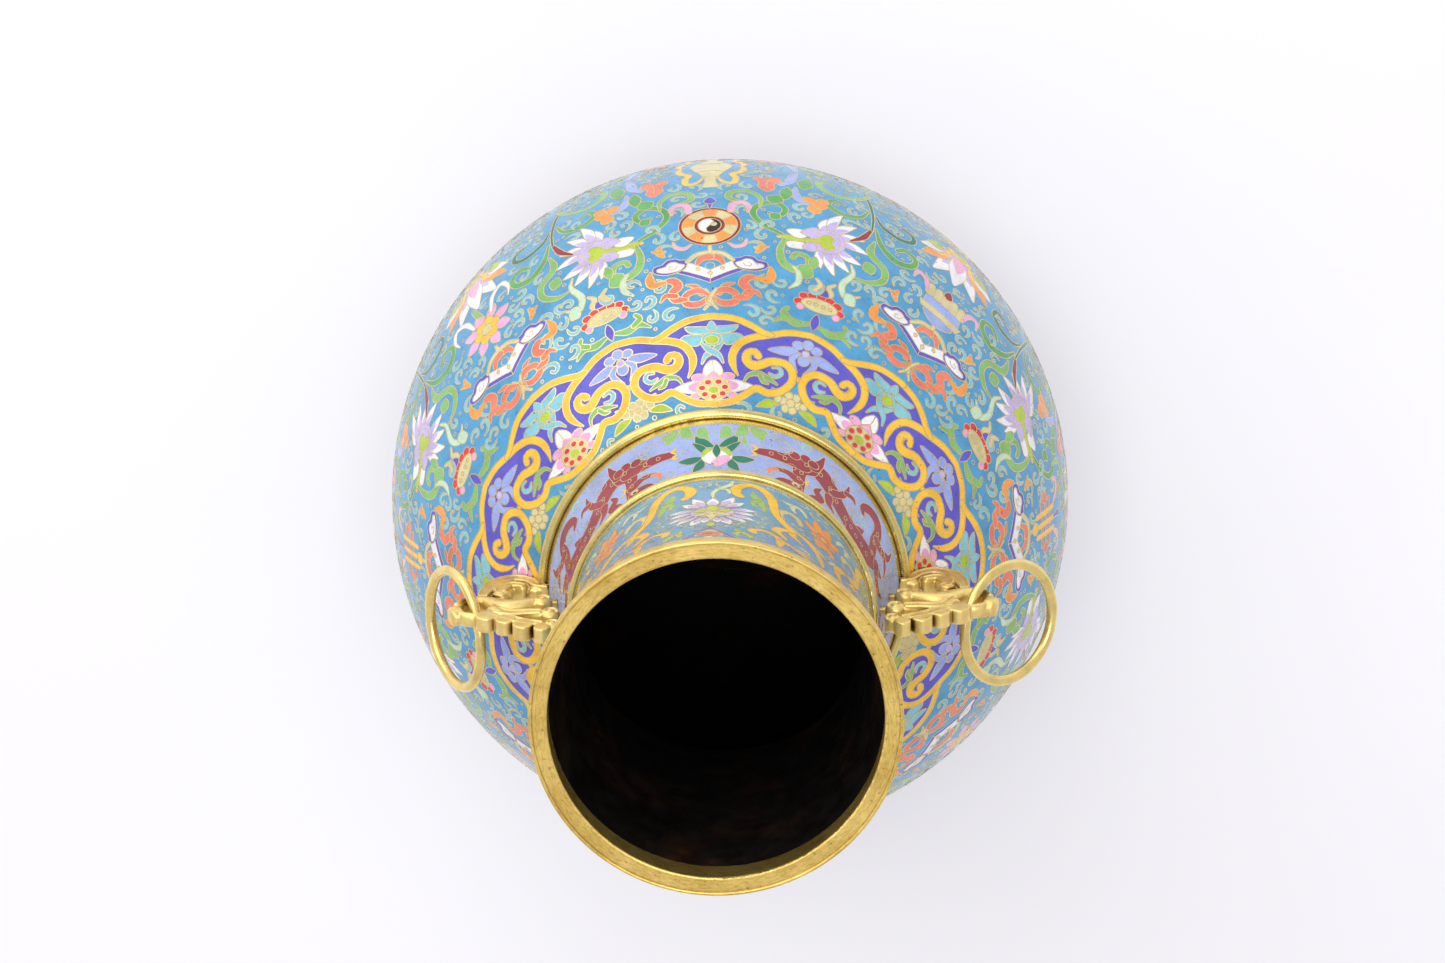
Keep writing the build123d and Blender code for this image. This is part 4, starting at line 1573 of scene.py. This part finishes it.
# ---- cast handles, in millimetres about the ring's eye: out from the neck, up ----------------------------
ROD_SIDES = 16
VOXEL = 0.3                    # mm, of the skin that joins a handle's rods into one casting
UPPER_LEAN = 0.10              # how the casting leans towards -Y above its eye, per millimetre of height
LOWER_LEAN = 0.03              # the same below its eye
RIM_ACROSS = 0.66              # where the rims of a rod run, as a share of its half width
RIM_LIFT = 0.86                # how far out they sit, as a share of its half depth
SPIRAL_LIFT = 0.84             # the same for the spiral on a curl


class Casting:
    """Overlapping rods in the handle's plane, to be fused into one cast piece."""

    def __init__(self):
        self.verts, self.faces = [], []

    def rod(self, points, widths, depth, lift=0.0, square=0.55):
        """Closed rod with an oval section: half widths in the plane, half depth across it."""
        line = spline(points, False, np.ones(2))
        along = np.concatenate([[0], np.cumsum(np.hypot(*np.diff(line, axis=0).T))])
        wide = np.interp(along / along[-1], np.linspace(0, 1, len(widths)), widths)
        tangent = unit_tangents(line)
        # half round ends: a few shrinking rings beyond the first and the last
        angles = np.radians([15, 40, 65])
        size = np.concatenate([np.sin(angles), np.ones(len(wide)), np.sin(angles)[::-1]])
        first = line[0] - tangent[0] * (wide[0] * np.cos(angles))[:, None]
        last = line[-1] + tangent[-1] * (wide[-1] * np.cos(angles)[::-1])[:, None]
        line = np.concatenate([first, line, last])
        tangent = np.concatenate([[tangent[0]] * 3, tangent, [tangent[-1]] * 3])
        wide = np.concatenate([[wide[0]] * 3, wide, [wide[-1]] * 3]) * size
        start = len(self.verts)
        section = [rounded_square(2 * pi * i / ROD_SIDES, square) for i in range(ROD_SIDES)]
        for (out, up), (tx, tz), w, k in zip(line, tangent, wide, size):
            for u, v in section:
                self.verts.append((out - tz * w * u, lift + depth * k * v, up + tx * w * u))
        self._skin(start, len(line), ROD_SIDES)

    def _skin(self, start, rings, sides):
        """Faces over a run of rings of points, closed at both ends."""
        for ring in range(rings - 1):
            for i in range(sides):
                a = start + ring * sides + i
                b = start + ring * sides + (i + 1) % sides
                self.faces.append((a, b, b + sides, a + sides))
        self.faces.append(tuple(range(start + sides - 1, start - 1, -1)))
        end = start + (rings - 1) * sides
        self.faces.append(tuple(range(end, end + sides)))

    def rims(self, points, widths, depth):
        """Raised rim along both edges of both faces of a rod."""
        line = spline(points, False, np.ones(2))[::2]
        tangent = unit_tangents(line)
        wide = np.interp(np.linspace(0, 1, len(line)), np.linspace(0, 1, len(widths)), widths)[:, None]
        side = np.stack([-tangent[:, 1], tangent[:, 0]], -1)
        for across in (-RIM_ACROSS, RIM_ACROSS):
            for face in (-1, 1):
                self.rod(line + side * wide * across, (0.5, 0.85, 0.5), 0.9, face * depth * RIM_LIFT, 1.0)

    def finger(self, points, widths, depth):
        """Rod with raised rims."""
        self.rod(points, widths, depth)
        self.rims(points, widths, depth)

    def curl(self, out, up, radius, depth, turn):
        """Domed disc with a spiral on both faces."""
        self.disc(out, up, radius, depth, 0.45)
        angles = np.radians(turn + np.arange(0, 480, 30))
        reach = np.linspace(0.85, 0.1, len(angles)) * radius
        spiral = np.stack([out + reach * np.cos(angles), up + reach * np.sin(angles)], -1)
        for face in (-1, 1):
            self.rod(spiral, (0.6, 0.8), 1.0, face * depth * SPIRAL_LIFT, 1.0)

    def disc(self, out, up, radius, depth, soft=0.14):
        """Short plug that runs across the casting, with its edges rounded off by a share of its size."""
        angles = np.radians([0, 45, 90])
        near = [(1 - soft * (1 - sin(a)), 1 - soft * (1 - cos(a))) for a in angles]
        profile = [(r, -y) for r, y in near] + [(r, y) for r, y in near[::-1]]
        start = len(self.verts)
        for r, y in profile:
            for i in range(2 * ROD_SIDES):
                a = pi * i / ROD_SIDES
                self.verts.append((out + radius * r * cos(a), depth * y, up + radius * r * sin(a)))
        self._skin(start, len(profile), 2 * ROD_SIDES)

    def fuse(self, name, eye, side, material):
        """One skin over all the rods, smoothed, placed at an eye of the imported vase."""
        mesh = bpy.data.meshes.new(name)
        lean = [(x, y - z * (UPPER_LEAN if z > 0 else LOWER_LEAN), z) for x, y, z in self.verts]
        mesh.from_pydata(lean, [], self.faces)
        draft = bpy.data.objects.new(name, mesh)
        bpy.context.collection.objects.link(draft)
        skin = draft.modifiers.new("skin", "REMESH")
        skin.mode = "VOXEL"
        skin.voxel_size = VOXEL
        soften = draft.modifiers.new("soften", "SMOOTH")
        soften.factor, soften.iterations = 0.5, 4
        depsgraph = bpy.context.evaluated_depsgraph_get()
        fused = bpy.data.meshes.new_from_object(draft.evaluated_get(depsgraph))
        bpy.data.objects.remove(draft)
        fused.transform(Matrix.Translation(eye) @ Matrix.Diagonal((side * MM, MM, MM, 1)))
        if side < 0:
            fused.flip_normals()
        fused.shade_smooth()
        fused.materials.clear()
        fused.materials.append(material)
        piece = bpy.data.objects.new(name, fused)
        bpy.context.collection.objects.link(piece)
        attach(piece, "vase")
        return piece


def unit_tangents(line):
    """Directions along a line at each of its points."""
    tangent = np.gradient(line, axis=0)
    return tangent / np.hypot(*tangent.T)[:, None]


def rounded_square(angle, power):
    """Point of a unit outline between a square (power 0) and a circle (power 1)."""
    c, s = cos(angle), sin(angle)
    return abs(c) ** power * (1 if c > 0 else -1), abs(s) ** power * (1 if s > 0 else -1)


def cast_handle():
    """Rods and discs of one handle: eye, ridge, fingers, lobes, hump and tangs."""
    cast = Casting()
    # ring of metal about the eye, with the bud beyond it
    eye = [(6.9 * cos(a), 6.9 * sin(a)) for a in np.linspace(0, 2 * pi, 13)]
    cast.rod(eye, (1.7, 1.7), 2.8, 0.0, 0.8)
    cast.rod([(6.8, 4.0), (8.0, 1.4)], (2.8, 2.6), 3.3)
    # broad smooth ridge, from the bud round the lower side of the eye to a curl near the neck
    ridge = [(7.6, -1.8), (4.6, -6.7), (-1.6, -8.4), (-8.8, -4.4), (-15, -3.8), (-21.5, -5.6)]
    ridge_widths = (1.4, 2.2, 3.0, 4.6, 3.4, 2.6)
    cast.rod(ridge, ridge_widths, 3.6, 0.0, 0.9)
    cast.rod([(-7.0, 1.4), (-9.4, 4.6)], (3.4, 3.4), 3.2, 0.0, 0.9)
    cast.curl(-24.6, -6.4, 3.7, 3.2, 200)
    # middle finger
    cast.finger([(-8.4, 4.4), (-14, 6.6), (-20.4, 6.0), (-26.2, 6.2)], (3.0, 2.7, 2.1, 2.0), 2.9)
    cast.curl(-28.6, 6.4, 3.5, 3.0, 180)
    # front finger with its stepped lobes
    cast.finger([(-7.6, 6.4), (-12, 9.6), (-19, 14.2), (-26, 16.6)], (2.6, 2.6, 2.4, 2.0), 2.5)
    for out, up, size in ((-4.8, 8.6, 4.2), (-12.2, 12.2, 3.9), (-19.2, 17.0, 4.0), (-26.4, 20.4, 3.1)):
        cast.disc(out, up, size, 2.9)
    cast.curl(-30.0, 16.8, 3.1, 2.8, 160)
    # hump that rests on the shoulder, and the curl under the ridge
    hump = [
        (-1.8, -11.6), (-3.4, -20), (-6.6, -27.4), (-12.6, -31.2), (-18.6, -28.2), (-22, -22.6),
        (-26, -21),
    ]
    cast.finger(hump, (2.4, 3.4, 3.6, 3.6, 3.0, 2.2, 1.3), 3.1)
    cast.finger([(-8.6, -13.4), (-8.2, -19.4), (-11.6, -24.0), (-16.4, -22.6)], (2.4, 2.6, 2.6, 1.8), 3.0)
    cast.rod([(-5.4, -17), (-8.4, -23), (-12.6, -26.4), (-17.4, -25)], (3.0, 4.4, 4.6, 3.0), 2.2)
    cast.curl(-8.8, -13.6, 3.7, 3.2, 30)
    # tangs that hold the scrolls to the neck and to the lower cord
    cast.rod([(-20, -7.6), (-30.5, -9.0)], (1.5, 1.3), 1.5)
    cast.rod([(-23, 5.0), (-35, 4.4)], (1.5, 1.3), 1.5)
    cast.rod([(-21, -22.0), (-25.4, -22.6)], (2.6, 2.2), 2.4)
    return cast


def handles(material):
    """The two cast handles, each placed at the eye that its loose ring hangs in."""
    eyes = {joint["child"]: Vector(joint["pos_m"]) for joint in frame["joints"]}
    cast = cast_handle()
    for name, body, side in (("handle_right", "right_ring", 1), ("handle_left", "left_ring", -1)):
        piece = cast.fuse("cast_" + name, eyes[body], side, material)
        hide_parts(name)


# ---- metalwork -------------------------------------------------------------------------------------------
def dress(material, *nodes):
    """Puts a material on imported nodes."""
    for name in nodes:
        slots = frame["nodes"][name].material_slots
        for slot in slots:
            slot.link = "DATA"
            slot.material = material


def copper_inside_painted_dark():
    """Patinated copper with brown and orange bloom; its near-black ground is painted shade of the unlit
    inside.
    """
    n = Nodes("patina_and_painted_shade_copper")
    dark, brown, rust = srgb(13, 8, 6), srgb(42, 22, 9), srgb(84, 44, 15)
    # the near-black stop is painted shade for the unlit inside; the brown and rust stops are patina
    n.colour(n.ramp(n.noise(38, 6, 0.7), (0.50, dark), (0.66, brown), (0.80, rust)))
    n.shader.inputs["Metallic"].default_value = 0.6
    n.rough(n.ramp(n.noise(120, 4), (0.3, 0.5), (0.7, 0.75)))
    n.bump(n.noise(60, 4), 0.4, 0.5 * MM)
    return n.material


def metalwork():
    """Materials of all metal nodes, and the cast handles."""
    worn = dict(rough=(0.20, 0.32), scale=140, dirt=0.24, hammered=0.05)
    for node, bore in (("upper_neck_ring", 54.6 * MM), ("lower_neck_ring", 65.6 * MM)):
        dress(gilding("gilt_" + node, (226, 206, 128), bore=bore, **worn), node)
    smooth = dict(rough=(0.20, 0.28), scale=140, dirt=0.16, hammered=0.03)
    ring_gilt = gilding("gilt_bronze_rings", (248, 220, 138), **smooth)
    handles(cast_gilding())
    dress(gilding("gilt_bronze_foot", (236, 208, 122)), "foot_collar", "foot_rim")
    dress(ring_gilt, "ring_left", "ring_right")
    dress(brushed_lip(), "mouth_rim")
    shells = ("body_lower_shell", "body_upper_shell", "neck_lower_shell", "neck_upper_shell", "foot_shell")
    dress(copper_inside_painted_dark(), *shells, "base_plate")


def brushed_lip():
    """Gilt lip, turned on the lathe: streaks that run round it, brown pits, and brown painted shade with
    grime in its corners.
    """
    n = Nodes("gilt_bronze_lip")
    bright, dull, brown = srgb(246, 214, 122), srgb(218, 182, 90), srgb(96, 58, 24)
    split = n.node("ShaderNodeSeparateXYZ")
    n.link(n.where, split.inputs[0])
    angle = n.math("ARCTAN2", split.outputs[1], split.outputs[0])

    def streaks(along, across, detail, roughness):
        place = n.node("ShaderNodeCombineXYZ")
        n.link(n.math("MULTIPLY", angle, along), place.inputs[0])
        n.link(n.math("MULTIPLY", n.radius(), across), place.inputs[1])
        n.link(n.math("MULTIPLY", split.outputs[2], across), place.inputs[2])
        return n.noise(1.0, detail, roughness, place.outputs[0])

    brushed = streaks(20, 1500, 4, 0.65)
    cloud = n.ramp(n.noise(70, 6, 0.65), (0.34, dull), (0.60, bright))
    cloud = n.mix(1.0, cloud, n.ramp(brushed, (0.32, 0.74), (0.58, 1.0)), "MULTIPLY")
    pits = n.ramp(streaks(34, 800, 5, 0.7), (0.60, 0.0), (0.69, 0.8))
    # painted shade and grime: brown in the corners, from ambient occlusion; the pits are real
    n.colour(n.mix(n.corners(1.6 * MM, 0.7), n.mix(pits, cloud, brown), brown))
    n.shader.inputs["Metallic"].default_value = GILT_METALLIC
    n.rough(n.ramp(brushed, (0.3, 0.26), (0.7, 0.42)))
    n.bump(brushed, 0.3, 0.12 * MM)
    return n.material


# ---- floor, light and camera -----------------------------------------------------------------------------
FLOOR_HALF = 6.0               # m
CAMERA_DISTANCE = 1.317        # m, from the point looked at
CAMERA_ELEVATION = 74.01       # degrees
CAMERA_AZIMUTH = 84.64         # degrees from +X
CAMERA_ROLL = 175.917          # degrees
CAMERA_LENS = 87.2             # mm
LOOK_AT = (1.05 * MM, 49.52 * MM, 290 * MM)


def floor():
    """Plain pale floor."""
    mesh = bpy.data.meshes.new("floor")
    half = FLOOR_HALF
    corners = [(-half, -half, 0), (half, -half, 0), (half, half, 0), (-half, half, 0)]
    mesh.from_pydata(corners, [], [(0, 1, 2, 3)])
    n = Nodes("pale_floor")
    n.colour(n.ramp(n.noise(2.0, 3), (0.3, srgb(246, 246, 249)), (0.7, srgb(251, 251, 253))))
    n.shader.inputs["Roughness"].default_value = 0.6
    mesh.materials.append(n.material)
    piece = bpy.data.objects.new("floor", mesh)
    bpy.context.collection.objects.link(piece)


def soft_light(name, place, size, watts):
    """Square softbox that faces the vase's shoulder."""
    data = bpy.data.lights.new(name, "AREA")
    data.shape = "SQUARE"
    data.size = size
    data.energy = watts
    lamp = bpy.data.objects.new(name, data)
    lamp.location = place
    lamp.rotation_mode = "QUATERNION"
    lamp.rotation_quaternion = (Vector(LOOK_AT) - Vector(place)).to_track_quat("-Z", "Y")
    bpy.context.collection.objects.link(lamp)


def studio():
    """Pale surroundings with two softboxes."""
    scene = bpy.context.scene
    scene.view_settings.view_transform = "Standard"
    world = bpy.data.worlds.new("studio")
    world.use_nodes = True
    world.node_tree.nodes["Background"].inputs["Color"].default_value = (*srgb(253, 250, 255), 1)
    world.node_tree.nodes["Background"].inputs["Strength"].default_value = 0.74
    scene.world = world
    soft_light("key", place=(0.0, 0.75, 2.6), size=1.3, watts=20)
    soft_light("fill", place=(-1.2, 2.0, 1.2), size=2.6, watts=27)


def camera():
    """Camera at the photo's angle, turned about its own axis as the photo is."""
    a, e = radians(CAMERA_AZIMUTH), radians(CAMERA_ELEVATION)
    back = Vector((cos(a) * cos(e), sin(a) * cos(e), sin(e)))
    data = bpy.data.cameras.new("camera")
    data.lens = CAMERA_LENS
    made = bpy.data.objects.new("camera", data)
    made.location = Vector(LOOK_AT) + back * CAMERA_DISTANCE
    made.rotation_mode = "QUATERNION"
    turn = Matrix.Rotation(radians(-CAMERA_ROLL), 3, "Z").to_quaternion()
    made.rotation_quaternion = (-back).to_track_quat("-Z", "Y") @ turn
    bpy.context.collection.objects.link(made)
    bpy.context.scene.camera = made


# ---- the scene -------------------------------------------------------------------------------------------
floor()
studio()
camera()
enamelled_skins()
metalwork()
